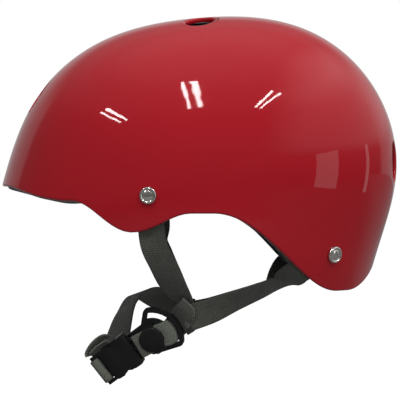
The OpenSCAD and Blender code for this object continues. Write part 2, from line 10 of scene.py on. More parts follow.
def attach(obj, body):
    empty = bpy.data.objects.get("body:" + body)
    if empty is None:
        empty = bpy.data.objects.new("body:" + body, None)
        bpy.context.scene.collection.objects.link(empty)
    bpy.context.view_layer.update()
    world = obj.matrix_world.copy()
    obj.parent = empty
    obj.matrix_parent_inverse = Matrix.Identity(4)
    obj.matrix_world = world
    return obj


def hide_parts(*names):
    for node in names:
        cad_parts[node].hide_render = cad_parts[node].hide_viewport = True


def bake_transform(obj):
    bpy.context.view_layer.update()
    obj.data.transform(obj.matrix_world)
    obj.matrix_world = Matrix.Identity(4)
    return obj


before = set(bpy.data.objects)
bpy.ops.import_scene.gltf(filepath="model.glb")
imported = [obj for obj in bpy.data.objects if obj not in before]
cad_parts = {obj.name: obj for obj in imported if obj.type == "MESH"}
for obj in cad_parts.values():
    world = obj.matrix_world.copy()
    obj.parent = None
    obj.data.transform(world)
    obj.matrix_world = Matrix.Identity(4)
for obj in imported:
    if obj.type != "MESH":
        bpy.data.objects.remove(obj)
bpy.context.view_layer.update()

scene = bpy.context.scene
scene.view_settings.view_transform = "Standard"

# Camera
# It looks square at the wearer's left side, level with the middle of the helmet and its straps,
# from far enough away that the shell fills the width of the picture.
VIEW_DISTANCE = 1.30
VIEW_HEIGHT = -0.0249
SENSOR_WIDTH_MM = 36
LENS_MM = 164.2
camera_data = bpy.data.cameras.new("side_camera")
camera_data.sensor_width = SENSOR_WIDTH_MM
camera_data.lens = LENS_MM
camera = bpy.data.objects.new("side_camera", camera_data)
camera.location = (VIEW_DISTANCE, 0, VIEW_HEIGHT)
camera.rotation_euler = (math.radians(90), 0, math.radians(90))
scene.collection.objects.link(camera)
scene.camera = camera


# Studio
# A large pale floor and a white backdrop behind the helmet, with a dim room in front that its
# gloss shows. Three fittings of two tube lamps hang over the helmet, two soft panels fill in
# the shade, and a window behind the helmet only shows in the gloss.
ROOM_SHADES = ((0.0, 0.06), (0.45, 0.10), (0.55, 0.18), (0.75, 0.22), (0.88, 0.42), (1.0, 0.8))
BACKDROP_IN_GLOSS = 0.42
REAR_WALL_GAIN = 3.0
FLOOR_DROP = 0.34
FLOOR_SIZE = 14
FLOOR_SHADE = 0.2
FLOOR_NEAR, FLOOR_FAR = 0.68, 0.94
FLOOR_IN_GLOSS = 0.15
LAMP_HEIGHT = 1.5
TUBE_GLOW = 38
TUBES = ((1.40, -1.677, 0.85, 0.055, 6.5), (1.386, -1.484, 0.84, 0.08, 8.6),
         (1.252, -0.216, 0.94, 0.030, 1.9), (1.252, -0.130, 0.91, 0.042, 2.3),
         (1.447, 0.811, 0.72, 0.055, -6.5), (1.469, 0.953, 0.75, 0.055, -10.3))
WINDOW_GLOW = 1.3
PANE_HEIGHT = 0.29
PANES = ((0.49, 0.28), (-0.033, 0.045))


def shader_nodes(holder):
    """Empties a material's or world's node tree and gives its nodes."""
    holder.use_nodes = True
    holder.node_tree.nodes.clear()
    return holder.node_tree.nodes


def give(socket, value):
    """Feeds an input from a number, a colour or another socket."""
    if isinstance(value, bpy.types.NodeSocket):
        socket.id_data.links.new(value, socket)
    else:
        socket.default_value = value


def node_by(kind, *values):
    """A new node of a kind beside the first socket among the values that feed its inputs."""
    tree = next(v for v in values if isinstance(v, bpy.types.NodeSocket)).id_data
    node = tree.nodes.new(kind)
    for socket, value in zip(node.inputs, values):
        give(socket, value)
    return node


def calculate(operation, *values):
    """The result of a Math node: each value is a number or a socket."""
    node = node_by("ShaderNodeMath", *values)
    node.operation = operation
    return node.outputs[0]


def axes_of(vector):
    """The X, Y and Z of a vector."""
    return node_by("ShaderNodeSeparateXYZ", vector).outputs


def spread(value, low, high, start=0.0, end=1.0, smooth=False):
    """Goes from low to high, evenly or smoothly, as a socket's value goes from start to end."""
    node = node_by("ShaderNodeMapRange", value, start, end, low, high)
    node.interpolation_type = "SMOOTHSTEP" if smooth else "LINEAR"
    return node.outputs["Result"]


def smooth_step(value, start, end, low=0.0, high=1.0):
    """Goes smoothly from low to high as a socket's value goes from start to end."""
    return spread(value, low, high, start, end, smooth=True)


def ray_kinds(nodes):
    """1 for rays from the camera, and 1 for rays that gloss or a clear surface sends on."""
    seen = nodes.new("ShaderNodeLightPath").outputs
    return seen["Is Camera Ray"], calculate("MAXIMUM", seen["Is Glossy Ray"],
                                            seen["Is Transmission Ray"])


world = bpy.data.worlds.new("dim_room")
scene.world = world
nodes = shader_nodes(world)
toward = axes_of(nodes.new("ShaderNodeTexCoord").outputs["Generated"])
room = nodes.new("ShaderNodeValToRGB")
room.color_ramp.interpolation = "EASE"
stops = room.color_ramp.elements
for height, shade in ROOM_SHADES:
    stop = stops[0] if height == 0 else stops[-1] if height == 1 else stops.new(height)
    stop.color = (shade, shade, shade, 1)
give(room.inputs["Fac"], spread(toward["Z"], 0.0, 1.0, start=-1.0))
behind = calculate("MULTIPLY", smooth_step(toward["X"], -0.42, -0.52, 0.0, BACKDROP_IN_GLOSS),
                   smooth_step(toward["Z"], 0.65, 0.35))
from_camera, from_gloss = ray_kinds(nodes)
backdrop = calculate("MAXIMUM", from_camera, calculate("MULTIPLY", from_gloss, behind))
rear_wall = calculate("MULTIPLY", smooth_step(toward["Y"], 0.35, 0.75),
                      smooth_step(toward["Z"], 0.12, 0.24))
gain = calculate("ADD", 1.0, calculate("MULTIPLY", rear_wall, REAR_WALL_GAIN))
lit = node_by("ShaderNodeBackground", room.outputs["Color"], gain)
white = nodes.new("ShaderNodeBackground")
give(white.inputs["Color"], (1, 1, 1, 1))
either = node_by("ShaderNodeMixShader", backdrop, lit.outputs[0], white.outputs[0])
node_by("ShaderNodeOutputWorld", either.outputs[0])

# The floor is matt, glows palely where the camera sees it, and is clear from below.
floor_mesh = bmesh.new()
bmesh.ops.create_grid(floor_mesh, x_segments=1, y_segments=1, size=FLOOR_SIZE / 2)
bmesh.ops.translate(floor_mesh, verts=floor_mesh.verts, vec=(0, 0, -FLOOR_DROP))
floor_data = bpy.data.meshes.new("floor")
floor_mesh.to_mesh(floor_data)
floor_mesh.free()
floor = bpy.data.objects.new("floor", floor_data)
scene.collection.objects.link(floor)
floor_paint = bpy.data.materials.new("floor_paint")
nodes = shader_nodes(floor_paint)
here = nodes.new("ShaderNodeTexCoord").outputs["Object"]
reach = node_by("ShaderNodeVectorMath", here)
reach.operation = "LENGTH"
from_camera, from_gloss = ray_kinds(nodes)
shown = calculate("MULTIPLY", from_camera, smooth_step(reach.outputs["Value"], 0.4, 2.0,
                                                       FLOOR_NEAR, FLOOR_FAR))
mirrored = calculate("MULTIPLY", from_gloss,
                     smooth_step(axes_of(here)["X"], -0.1, -0.7, 0.0, FLOOR_IN_GLOSS))
matt = nodes.new("ShaderNodeBsdfDiffuse")
give(matt.inputs["Color"], (FLOOR_SHADE, FLOOR_SHADE, FLOOR_SHADE, 1))
glow = node_by("ShaderNodeEmission", (1, 1, 1, 1), calculate("ADD", shown, mirrored))
both = node_by("ShaderNodeAddShader", matt.outputs[0], glow.outputs[0])
clear = nodes.new("ShaderNodeBsdfTransparent")
below = nodes.new("ShaderNodeNewGeometry").outputs["Backfacing"]
one_way = node_by("ShaderNodeMixShader", below, both.outputs[0], clear.outputs[0])
node_by("ShaderNodeOutputMaterial", one_way.outputs[0])
floor.data.materials.append(floor_paint)


def area_lamp(name, place, target, width, length, watts, turn=0, mirrored=True, lights=True):
    """A rectangular lamp at a place, facing a target and turned about that line by degrees.

    One that isn't mirrored doesn't show in gloss, and one that doesn't light only shows there."""
    data = bpy.data.lights.new(name, "AREA")
    data.shape = "RECTANGLE"
    data.size = width
    data.size_y = length
    data.energy = watts
    lamp = bpy.data.objects.new(name, data)
    facing = (Vector(target) - Vector(place)).to_track_quat("-Z", "Y").to_matrix()
    lamp.rotation_euler = (facing @ Matrix.Rotation(math.radians(turn), 3, "Z")).to_euler()
    lamp.location = place
    lamp.visible_glossy = mirrored
    lamp.visible_diffuse = lights
    scene.collection.objects.link(lamp)


for x, y, long, wide, turn in TUBES:
    area_lamp("tube", (x, y, LAMP_HEIGHT), (x, y, 0), long, wide,
              TUBE_GLOW * math.pi * long * wide, turn)
area_lamp("top_panel", (0.35, 0.5, LAMP_HEIGHT), (0, 0, 0), width=1.4, length=1.4, watts=12,
          mirrored=False)
area_lamp("side_panel", (1.8, 0.4, 0.2), (0, 0, -0.03), width=1.0, length=0.8, watts=7,
          mirrored=False)
for middle, wide in PANES:
    area_lamp("window_pane", (middle, 0.8, 0.0), (middle, 0, 0), wide, PANE_HEIGHT,
              WINDOW_GLOW * math.pi * wide * PANE_HEIGHT, lights=False)


# Outer shell
# A single injection moulding in gloss red ABS, 3 mm thick, with a rounded rim. Each vent's edge
# rolls inwards and runs on as a lip, so that the shell grips the foam behind it.
MM = 0.001
HALF_LENGTH = 140
HALF_WIDTH = 107
HALF_HEIGHT = 117
DOME_CENTRE = Vector((0, 0, -10))
BULGE = 2.15
OUTLINE_FULLNESS = (0.99, 1.04, 1.08, 0.95, 0.98, 0.96, 0.95, 1.20, 1.38, 1.43, 1.30, 0.95)
RIM_STATIONS = ((0, 15), (12, 15), (46, 25.5), (66, 46.5), (87, 34), (95, 34),
                (146, 87), (152, 87), (180, 71))
SHELL_WALL = 3
SHELL_COLUMNS, SHELL_ROWS = 192, 56
SHELL_RED = (0.345, 0.0075, 0.0145, 1)
ABS_IOR = 1.36
VENTS = ((-8.5, 27), (8.5, 27), (0, 62.5), (180, 64), (-90, 73.5), (90, 73.5),
         (180, 38.5), (-170, 5), (170, 5))
VENT_LENGTH = 27.5
VENT_WIDTH = 20
VENT_ROLL = 1.7
VENT_MARGIN = 3.4
VENT_APRON = 1
LIP_DEPTH = 1.4
LIP_WALL = 2
LIP_EASE = 0.25
LIP_CORNER = 0.8
TOUCHING = 0.002


def fullness(angle):
    """How full the side outline is at an angle in degrees: a closed uniform cubic B-spline."""
    count = len(OUTLINE_FULLNESS)
    turn = angle % 360 * count / 360
    i = math.floor(turn)
    f = turn - i
    a, b, c, d = (OUTLINE_FULLNESS[(i + k) % count] for k in (-1, 0, 1, 2))
    return ((1 - f) ** 3 * a + (3 * f ** 3 - 6 * f * f + 4) * b
            + (-3 * f ** 3 + 3 * f * f + 3 * f + 1) * c + f ** 3 * d) / 6


def level(d):
    """1 on the outer skin, less inside it and more outside, for a point from the dome's centre."""
    y, z = d.y / HALF_LENGTH, d.z / HALF_HEIGHT
    side = math.hypot(y, z) / fullness(math.degrees(math.atan2(z, y)))
    return (abs(d.x / HALF_WIDTH) ** BULGE + side ** BULGE) ** (1 / BULGE)


def heading(az, el):
    """The direction at an azimuth from the brow towards the wearer's left, and an elevation."""
    az, el = math.radians(az), math.radians(el)
    return Vector((math.sin(az) * math.cos(el), -math.cos(az) * math.cos(el), math.sin(el)))


def skin_at(d):
    """The point of the outer skin in a direction from the dome's centre."""
    return DOME_CENTRE + d / level(d)


def normal_at(p, h=0.5):
    """The way out of the skin at a point, from its level half a millimetre to each side."""
    q = p - DOME_CENTRE
    steps = (Vector((h, 0, 0)), Vector((0, h, 0)), Vector((0, 0, h)))
    return Vector([level(q + s) - level(q - s) for s in steps]).normalized()


def under(d, inset):
    """A point some way under the outer skin in a direction from the dome's centre."""
    p = skin_at(d)
    return p - inset * normal_at(p)


def ease(k):
    """Goes smoothly from 0 to 1 as k does, and stays there beyond."""
    return (1 - math.cos(math.pi * min(max(k, 0), 1))) / 2


def rim_depth(az):
    """How deep the rim line lies below the headband plane at an azimuth."""
    turn = abs((az + 180) % 360 - 180)
    for (a, low), (b, high) in zip(RIM_STATIONS, RIM_STATIONS[1:]):
        if turn <= b:
            return low + (high - low) * ease((turn - a) / (b - a))
    return RIM_STATIONS[-1][1]


def rim_elevation(az, raised):
    """The elevation at which the skin stands a given height above the rim line, by halving."""
    low, high = -60, 10
    for _ in range(24):
        middle = (low + high) / 2
        if skin_at(heading(az, middle)).z < raised - rim_depth(az):
            low = middle
        else:
            high = middle
    return high


def open_dome(columns, rows, raised, inset):
    """A dome of faces under the outer skin, each vertex knowing its direction.

    raised gives how far its rim stands above the rim line at an azimuth, and inset how deep
    it lies in a direction."""
    bm = bmesh.new()
    bmesh.ops.create_uvsphere(bm, u_segments=columns, v_segments=2 * rows, radius=1)
    lower = [v for v in bm.verts if v.co.z < -0.001]
    bmesh.ops.delete(bm, geom=lower, context="VERTS")
    way = bm.verts.layers.float_vector.new("way")
    rims = {}
    for v in bm.verts:
        az = math.degrees(math.atan2(v.co.x, -v.co.y))
        rise = math.degrees(math.asin(min(v.co.z, 1))) / 90
        key = round(az, 3)
        if key not in rims:
            rims[key] = rim_elevation(az, raised(az))
        low = rims[key]
        v[way] = heading(az, low + (90 - low) * rise)
        v.co = under(v[way], inset(v[way]))
    return bm, way


def boundary_loops(bm):
    """The open edges of a bmesh, grouped into closed loops of edges."""
    left = {e for e in bm.edges if e.is_boundary}
    loops = []
    while left:
        loop = [left.pop()]
        reached = list(loop[0].verts)
        while reached:
            for e in reached.pop().link_edges:
                if e in left:
                    left.discard(e)
                    loop.append(e)
                    reached.extend(e.verts)
        loops.append(loop)
    return loops


def extrude_rings(bm, edges, rings, place):
    """Extrudes an open loop ring by ring, putting each new vertex where place says."""
    for ring in rings:
        made = bmesh.ops.extrude_edge_only(bm, edges=edges)["geom"]
        fresh = {g for g in made if isinstance(g, bmesh.types.BMVert)}
        edges = [g for g in made if isinstance(g, bmesh.types.BMEdge)
                 and g.verts[0] in fresh and g.verts[1] in fresh]
        for v in fresh:
            v.co = place(v, ring)
    return edges


def surface_frame(n):
    """The axes of a place on the skin with a normal: sideways, up the shell and outwards."""
    side = Vector((0, 0, 1)).cross(n).normalized()
    return side, n.cross(side), n


def vent_frames():
    """Each vent's middle on the skin and its axes."""
    for az, el in VENTS:
        centre = skin_at(heading(az, el))
        yield centre, surface_frame(normal_at(centre))


def cut_vents(bm, margin):
    """Takes out the faces in front of each vent, and for a margin round it."""
    for centre, (side, up, out) in vent_frames():
        gone = []
        for f in bm.faces:
            q = f.calc_center_median() - centre
            x, y = q.dot(side), q.dot(up)
            near = (x / (VENT_WIDTH / 2 + margin)) ** 2 + (y / (VENT_LENGTH / 2 + margin)) ** 2
            if near < 1 and q.dot(out) > -2 * VENT_LENGTH:
                gone.append(f)
        bmesh.ops.delete(bm, geom=gone, context="FACES")


def nearest_vent(verts):
    """The frame of the vent that a loop of vertices lies round."""
    middle = sum((v.co for v in verts), Vector()) / len(verts)
    return min(vent_frames(), key=lambda f: (f[0] - middle).length)


def set_turns(verts, centre, axes, turn):
    """Gives each vertex round a vent an even share of the turn round its oval."""
    side, up, _ = axes

    def angle_of(v):
        """A vertex's turn round the oval, stretched to a circle."""
        q = v.co - centre
        return math.atan2(q.dot(up) / VENT_LENGTH, q.dot(side) / VENT_WIDTH)

    around = sorted(verts, key=angle_of)
    share = 2 * math.pi / len(around)
    start = sum(angle_of(v) - i * share for i, v in enumerate(around)) / len(around)
    for i, v in enumerate(around):
        v[turn] = start + i * share


def skin_height(centre, axes, x, y):
    """How far the outer skin stands above a vent's own plane, x sideways and y up from it."""
    side, up, out = axes
    h = 0
    for _ in range(5):
        q = centre + x * side + y * up + h * out - DOME_CENTRE
        slope = level(q + 0.5 * out) - level(q - 0.5 * out)
        h -= (level(q) - 1) / slope
    return h


def rim_place(way, inset, wall, lift):
    """Gives a rule for where a rim vertex goes at each ring of a rounded edge."""
    def place(v, ring):
        """The place at a share of the wall's thickness and a reach below its edge."""
        share, reach = ring
        d = Vector(v[way])
        p = skin_at(d)
        n = normal_at(p)
        az = math.degrees(math.atan2(d.x, -d.y))
        ahead = skin_at(heading(az + 1, rim_elevation(az + 1, lift(az + 1))))
        back = skin_at(heading(az - 1, rim_elevation(az - 1, lift(az - 1))))
        down = n.cross((ahead - back).normalized())
        if down.z > 0:
            down = -down
        return p - (inset(d) + wall(d) * share) * n + reach * down
    return place


def new_piece(bm, name, material, body="root"):
    """Makes a bmesh in millimetres a smooth object in metres that rides on a body, if given."""
    bmesh.ops.scale(bm, vec=(MM, MM, MM), verts=bm.verts)
    mesh = bpy.data.meshes.new(name)
    bm.to_mesh(mesh)
    bm.free()
    mesh.shade_smooth()
    mesh.materials.append(material)
    piece = bpy.data.objects.new(name, mesh)
    scene.collection.objects.link(piece)
    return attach(piece, body) if body else piece


def group_of(name, inputs, outputs):
    """A shader node group with named inputs (with defaults) and outputs, ready to be filled."""
    tree = bpy.data.node_groups.new(name, "ShaderNodeTree")
    kinds = {"Vector": "NodeSocketVector", "Value": "NodeSocketFloat", "Color": "NodeSocketColor"}
    for label, kind, start in inputs:
        socket = tree.interface.new_socket(label, in_out="INPUT", socket_type=kinds[kind])
        if start is not None:
            socket.default_value = start
    for label, kind in outputs:
        tree.interface.new_socket(label, in_out="OUTPUT", socket_type=kinds[kind])
    given = tree.nodes.new("NodeGroupInput")
    result = tree.nodes.new("NodeGroupOutput")
    return tree, given.outputs, result.inputs


def noise_value(vector, scale, detail):
    """Noise from 0 to 1 at a vector."""
    node = node_by("ShaderNodeTexNoise", vector)
    give(node.inputs["Scale"], scale)
    give(node.inputs["Detail"], detail)
    return node.outputs["Fac"]


# A moulded or cast skin: broad unevenness of tone, fine grain in its gloss and its height.
mottle, given, result = group_of(
    "mottle",
    (("Vector", "Vector", None), ("Broad Scale", "Value", 30.0), ("Fine Scale", "Value", 900.0)),
    (("Broad", "Value"), ("Fine", "Value"), ("Specks", "Value")))
give(result["Broad"], noise_value(given["Vector"], given["Broad Scale"], 3))
give(result["Fine"], noise_value(given["Vector"], given["Fine Scale"], 2))
specks = noise_value(given["Vector"], calculate("MULTIPLY", given["Fine Scale"], 0.6), 0)
give(result["Specks"], calculate("GREATER_THAN", specks, 0.74))


def new_material(name):
    """A material with a plain Principled shader, and that shader's inputs."""
    material = bpy.data.materials.new(name)
    shader = shader_nodes(material).new("ShaderNodeBsdfPrincipled")
    node_by("ShaderNodeOutputMaterial", shader.outputs[0])
    return material, shader.inputs


def object_place(material):
    """Where a point of a material's surface is on its object."""
    return material.node_tree.nodes.new("ShaderNodeTexCoord").outputs["Object"]


def placed_group(tree, vector, **values):
    """A copy of a shared group beside its vector, with values (underscores are spaces)."""
    node = vector.id_data.nodes.new("ShaderNodeGroup")
    node.node_tree = tree
    give(node.inputs["Vector"], vector)
    for name, value in values.items():
        give(node.inputs[name.replace("_", " ")], value)
    return node.outputs


def cells(vector, scale, randomness=1.0):
    """Cells like beads or loops at a vector: how far from each one's middle, and its colour."""
    node = node_by("ShaderNodeTexVoronoi", vector)
    give(node.inputs["Scale"], scale)
    give(node.inputs["Randomness"], randomness)
    return node.outputs["Distance"], node.outputs["Color"]


def tint(value, low, high):
    """A colour between two, by a value."""
    node = node_by("ShaderNodeMix", value)
    node.data_type = "RGBA"
    give(node.inputs[6], low)
    give(node.inputs[7], high)
    return node.outputs[2]


def shaded(colour, factor):
    """A colour made darker or lighter by a factor."""
    return (colour[0] * factor, colour[1] * factor, colour[2] * factor, 1)


def bump(look, height, strength, distance):
    """Raises a surface by a height from 0 to 1, over a distance in metres."""
    node = height.id_data.nodes.new("ShaderNodeBump")
    for name, value in (("Strength", strength), ("Distance", distance), ("Height", height)):
        give(node.inputs[name], value)
    give(look["Normal"], node.outputs[0])


def tone_and_gloss(look, colour, tone, tones, gloss, roughness):
    """Colours a look between two tones by a value, and its roughness over a range by another."""
    give(look["Base Color"], tint(tone, shaded(colour, tones[0]), shaded(colour, tones[1])))
    give(look["Roughness"], spread(gloss, *roughness))


gloss_red, look = new_material("gloss_red_abs")
here = object_place(gloss_red)
spots = placed_group(mottle, here, Broad_Scale=14.0, Fine_Scale=420.0)
tone_and_gloss(look, SHELL_RED, spots["Broad"], (0.93, 1.07), spots["Fine"], (0.02, 0.05))
give(look["IOR"], ABS_IOR)
bump(look, noise_value(here, 130.0, 1), 0.05, 0.0006)

shell, way = open_dome(SHELL_COLUMNS, SHELL_ROWS, lambda az: SHELL_WALL / 2, lambda d: 0)
cut_vents(shell, VENT_MARGIN)
outer_loops = boundary_loops(shell)
made = bmesh.ops.duplicate(shell, geom=shell.verts[:] + shell.edges[:] + shell.faces[:])["geom"]
for v in (g for g in made if isinstance(g, bmesh.types.BMVert)):
    v.co = under(v[way], SHELL_WALL)
turn = shell.verts.layers.float.new("turn")
for loop in outer_loops:
    verts = {v for e in loop for v in e.verts}
    if len(verts) == SHELL_COLUMNS:
        round_edge = [((1 - math.cos(a)) / 2, SHELL_WALL / 2 * math.sin(a))
                      for a in (math.radians(22.5 * k) for k in range(1, 9))]
        extrude_rings(shell, loop, round_edge,
                      rim_place(way, lambda d: 0, lambda d: SHELL_WALL,
                                lambda az: SHELL_WALL / 2))
        continue
    centre, axes = nearest_vent(verts)
    side, up, out = axes
    set_turns(verts, centre, axes, turn)

    def vent_place(v, ring):
        """The place in a ring: how much wider than the vent, on which surface, and how deep."""
        grow, kind, depth = ring
        if kind == "weld":
            return under(v[way], SHELL_WALL)
        x = (VENT_WIDTH / 2 + grow) * math.cos(v[turn])
        y = (VENT_LENGTH / 2 + grow) * math.sin(v[turn])
        z = skin_height(centre, axes, x, y) - depth if kind == "skin" else -depth
        return centre + x * side + y * up + z * out

    roll = [(VENT_ROLL * (1 - math.sin(a)), "skin", VENT_ROLL * (1 - math.cos(a)))
            for a in (math.radians(15 * k) for k in range(7))]
    end = SHELL_WALL + LIP_DEPTH
    lip = [(0, "plane", end - LIP_CORNER), (LIP_EASE, "plane", end - LIP_EASE),
           (LIP_WALL / 2, "plane", end), (LIP_WALL - LIP_EASE, "plane", end - LIP_EASE),
           (LIP_WALL, "plane", end - LIP_CORNER), (LIP_WALL, "skin", SHELL_WALL), (0, "weld", 0)]
    extrude_rings(shell, loop, [(VENT_ROLL + VENT_APRON, "skin", 0)] + roll + lip, vent_place)
bmesh.ops.remove_doubles(shell, verts=shell.verts, dist=TOUCHING)
bmesh.ops.recalc_face_normals(shell, faces=shell.faces)

# The outer skin's true normals keep its reflections even. A zero leaves a vertex as it is.
true_normals = []
for v in shell.verts:
    d = v.co - DOME_CENTRE
    true_normals.append(normal_at(v.co) if abs(level(d) - 1) < 0.00002 else Vector((0, 0, 0)))
shell_piece = new_piece(shell, "shell", gloss_red)
shell_piece.data.normals_split_custom_set_from_vertices(true_normals)
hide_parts("outer_shell")


# Foam liner
# Black expanded polystyrene beads, fused in a mould and glued into the hard shell, 18 mm thick
# at the sides and 26 mm at the ends. The vents run through it, and the webbing lies in
# channels pressed into its outside.
FIT = 0.8
FOAM_SIDE, FOAM_END, FOAM_TOP = 18, 26, 25
FOAM_EDGE = 2.5
LINER_COLUMNS, LINER_ROWS = 160, 40
LINER_LIFT, BROW_DROP = 2.5, 3.5
CHANNEL_DEPTH, CHANNEL_REACH, CHANNEL_SLOPE = 3.8, 15.5, 3.5
POCKET_DEPTH, POCKET_REACH, POCKET_SLOPE = 6.3, 14, 4
MIDDLE_CLEAR = 30
TUNNEL_FROM, TUNNEL_LENGTH = 36, 41
FRONT_ROUTE = ((-35, -10, 0), (-34, -22, 0), (-33, -35, 0), (-32.5, -46, 0))
REAR_ROUTE = ((99, -56, 0), (90, -61.5, 0), (79, -68, 0.2), (68, -74.5, 0.8))
RIVET_YZ = ((-34, -22), (90, -61.5))
FOAM_BLACK = (0.009, 0.0093, 0.0102, 1)
SEAT = SHELL_WALL + FIT


def foam_at(d):
    """The foam's thickness in a direction."""
    u = d.normalized()
    flat = max(math.hypot(u.x, u.y), 0.001)
    top = max(u.z, 0) ** 2
    return (FOAM_SIDE + (FOAM_END - FOAM_SIDE) * (u.y / flat) ** 2) * (1 - top) + FOAM_TOP * top


def route_distance(y, z, route):
    """How far a place in side view is from a line of stations."""
    place = Vector((y, z))
    best = 1000
    for a, b in zip(route, route[1:]):
        start, run = Vector(a[:2]), Vector(b[:2]) - Vector(a[:2])
        share = min(max((place - start).dot(run) / run.length_squared, 0), 1)
        best = min(best, (place - start - share * run).length)
    return best


def liner_outside(d):
    """How deep the liner's outside lies: a channel for each band, a pocket for each rivet."""
    p = skin_at(d)
    if abs(p.x) < MIDDLE_CLEAR:
        return SEAT
    near = min(route_distance(p.y, p.z, FRONT_ROUTE), route_distance(p.y, p.z, REAR_ROUTE))
    channel = CHANNEL_DEPTH * ease((CHANNEL_REACH - near) / CHANNEL_SLOPE)
    rivet = min(math.hypot(p.y - y, p.z - z) for y, z in RIVET_YZ)
    return SEAT + max(channel, POCKET_DEPTH * ease((POCKET_REACH - rivet) / POCKET_SLOPE))


def liner_raise(az):
    """How far the liner's edge stands above the rim line: less at the brow, where it shows."""
    turn = abs((az + 180) % 360 - 180)
    return LINER_LIFT + FOAM_EDGE - BROW_DROP * ease((60 - turn) / 30)


def stand(bm, p, axes):
    """Stands a bmesh on a place with its x sideways, its y up the shell and its z outwards."""
    side, up, out = axes
    turn = Matrix((side, up, out)).transposed().to_4x4()
    bmesh.ops.transform(bm, matrix=Matrix.Translation(p) @ turn, verts=bm.verts)


def cut_away(bm, cutter):
    """What is left of one closed bmesh once another is taken away from it."""
    solids = []
    for part in (bm, cutter):
        mesh = bpy.data.meshes.new("cutting")
        part.to_mesh(mesh)
        part.free()
        solids.append(bpy.data.objects.new("cutting", mesh))
        scene.collection.objects.link(solids[-1])
    cut = solids[0].modifiers.new("cut", "BOOLEAN")
    cut.operation = "DIFFERENCE"
    cut.solver = "EXACT"
    cut.use_self = True
    cut.object = solids[1]
    graph = bpy.context.evaluated_depsgraph_get()
    left = bmesh.new()
    left.from_mesh(solids[0].evaluated_get(graph).data)
    for solid in solids:
        bpy.data.objects.remove(solid)
    return left


eps_beads, look = new_material("fused_bead_foam")
from_middle, bead_colour = cells(object_place(eps_beads), 290, 0.85)
bead = node_by("ShaderNodeSeparateColor", bead_colour).outputs
tone_and_gloss(look, FOAM_BLACK, bead[0], (0.8, 1.9), bead[1], (0.42, 0.62))
give(look["Specular IOR Level"], 0.2)
crease = calculate("POWER", from_middle, 2.0)
bump(look, calculate("MULTIPLY", crease, -1.0), 0.6, 0.0016)

liner, way = open_dome(LINER_COLUMNS, LINER_ROWS, liner_raise, liner_outside)
rim_loop = boundary_loops(liner)[0]
made = bmesh.ops.duplicate(liner, geom=liner.verts[:] + liner.edges[:] + liner.faces[:])["geom"]
for v in (g for g in made if isinstance(g, bmesh.types.BMVert)):
    v.co = under(v[way], SEAT + foam_at(v[way]))
soft_edge = [(k * FOAM_EDGE / FOAM_SIDE, reach * FOAM_EDGE)
             for k, reach in ((0.134, 0.5), (0.5, 0.866), (1, 1))]
soft_edge += [(0.5, FOAM_EDGE)] + [(1 - share, reach) for share, reach in reversed(soft_edge)]
extrude_rings(liner, rim_loop, soft_edge + [(1, 0)],
              rim_place(way, liner_outside, lambda d: SEAT + foam_at(d) - liner_outside(d),
                        liner_raise))
bmesh.ops.remove_doubles(liner, verts=liner.verts, dist=TOUCHING)
bmesh.ops.recalc_face_normals(liner, faces=liner.faces)

# The vents go on through the foam, a little wider than the shell's lips.
tunnels = bmesh.new()
for centre, axes in vent_frames():
    tunnel = bmesh.new()
    bmesh.ops.create_circle(tunnel, segments=56, radius=1, cap_ends=True)
    bmesh.ops.scale(tunnel, verts=tunnel.verts, vec=(VENT_WIDTH / 2 + LIP_WALL + FIT,
                                                     VENT_LENGTH / 2 + LIP_WALL + FIT, 1))
    bmesh.ops.translate(tunnel, verts=tunnel.verts, vec=(0, 0, -TUNNEL_FROM))
    top = bmesh.ops.extrude_face_region(tunnel, geom=tunnel.faces[:])["geom"]
    bmesh.ops.translate(tunnel, verts=[g for g in top if isinstance(g, bmesh.types.BMVert)],
                        vec=(0, 0, TUNNEL_LENGTH))
    bmesh.ops.recalc_face_normals(tunnel, faces=tunnel.faces)
    stand(tunnel, centre, axes)
    part = bpy.data.meshes.new("tunnel")
    tunnel.to_mesh(part)
    tunnel.free()
    tunnels.from_mesh(part)
    bpy.data.meshes.remove(part)
liner = cut_away(liner, tunnels)
liner_piece = new_piece(liner, "liner", eps_beads)
liner_piece.data.set_sharp_from_angle(angle=math.radians(40))
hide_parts("foam_liner")


# Comfort pads
# Soft polyester foam wrapped in brushed black knit fabric, bound round the edge with a tape,
# and held to the liner by hook discs so that they peel off for washing.
PAD_GAP = 2.1
PAD_THICK = 8
PAD_EDGE = 0.3
PAD_SWELL = 1.2
PAD_INSIDE_TAPE = 0.965
TAPE_STEPS = 120
TAPE_HALF_WIDTH, TAPE_HALF_HEIGHT = 0.9, 1.2
TAPE_RISE = 0.14
GROOVE_WIDTH, GROOVE_PINCH, GROOVE_FLOOR = 0.035, 0.42, 0.4
PAD_GREY = (0.030, 0.031, 0.034, 1)
PADS = {"brow_pad": (0, 10, 38, 9), "nape_pad": (180, -5, 34, 11),
        "side_pad_left": (90, 12, 22, 10), "side_pad_right": (270, 12, 22, 10),
        "crown_pad": (0, 90, 8, 17)}
PAD_CHANNELS = {"brow_pad": (-0.36, 0.36), "nape_pad": (-0.34, 0.34)}


def foam_under(d, inset):
    """A point some way under the foam's inside in a direction."""
    return under(d, inset + foam_at(d))


def pad_direction(pad, r, a):
    """The direction at a share of the way from a pad's middle to its edge, r, and a turn, a."""
    az, el, half_w, half_h = pad
    middle, side = heading(az, el), heading(az + 90, 0)
    up = side.cross(middle)
    square = (abs(math.cos(a)) ** 3 + abs(math.sin(a)) ** 3) ** (-1 / 3)
    return (middle + r * square * (math.cos(a) * math.tan(math.radians(half_w)) * side
                                   + math.sin(a) * math.tan(math.radians(half_h)) * up))


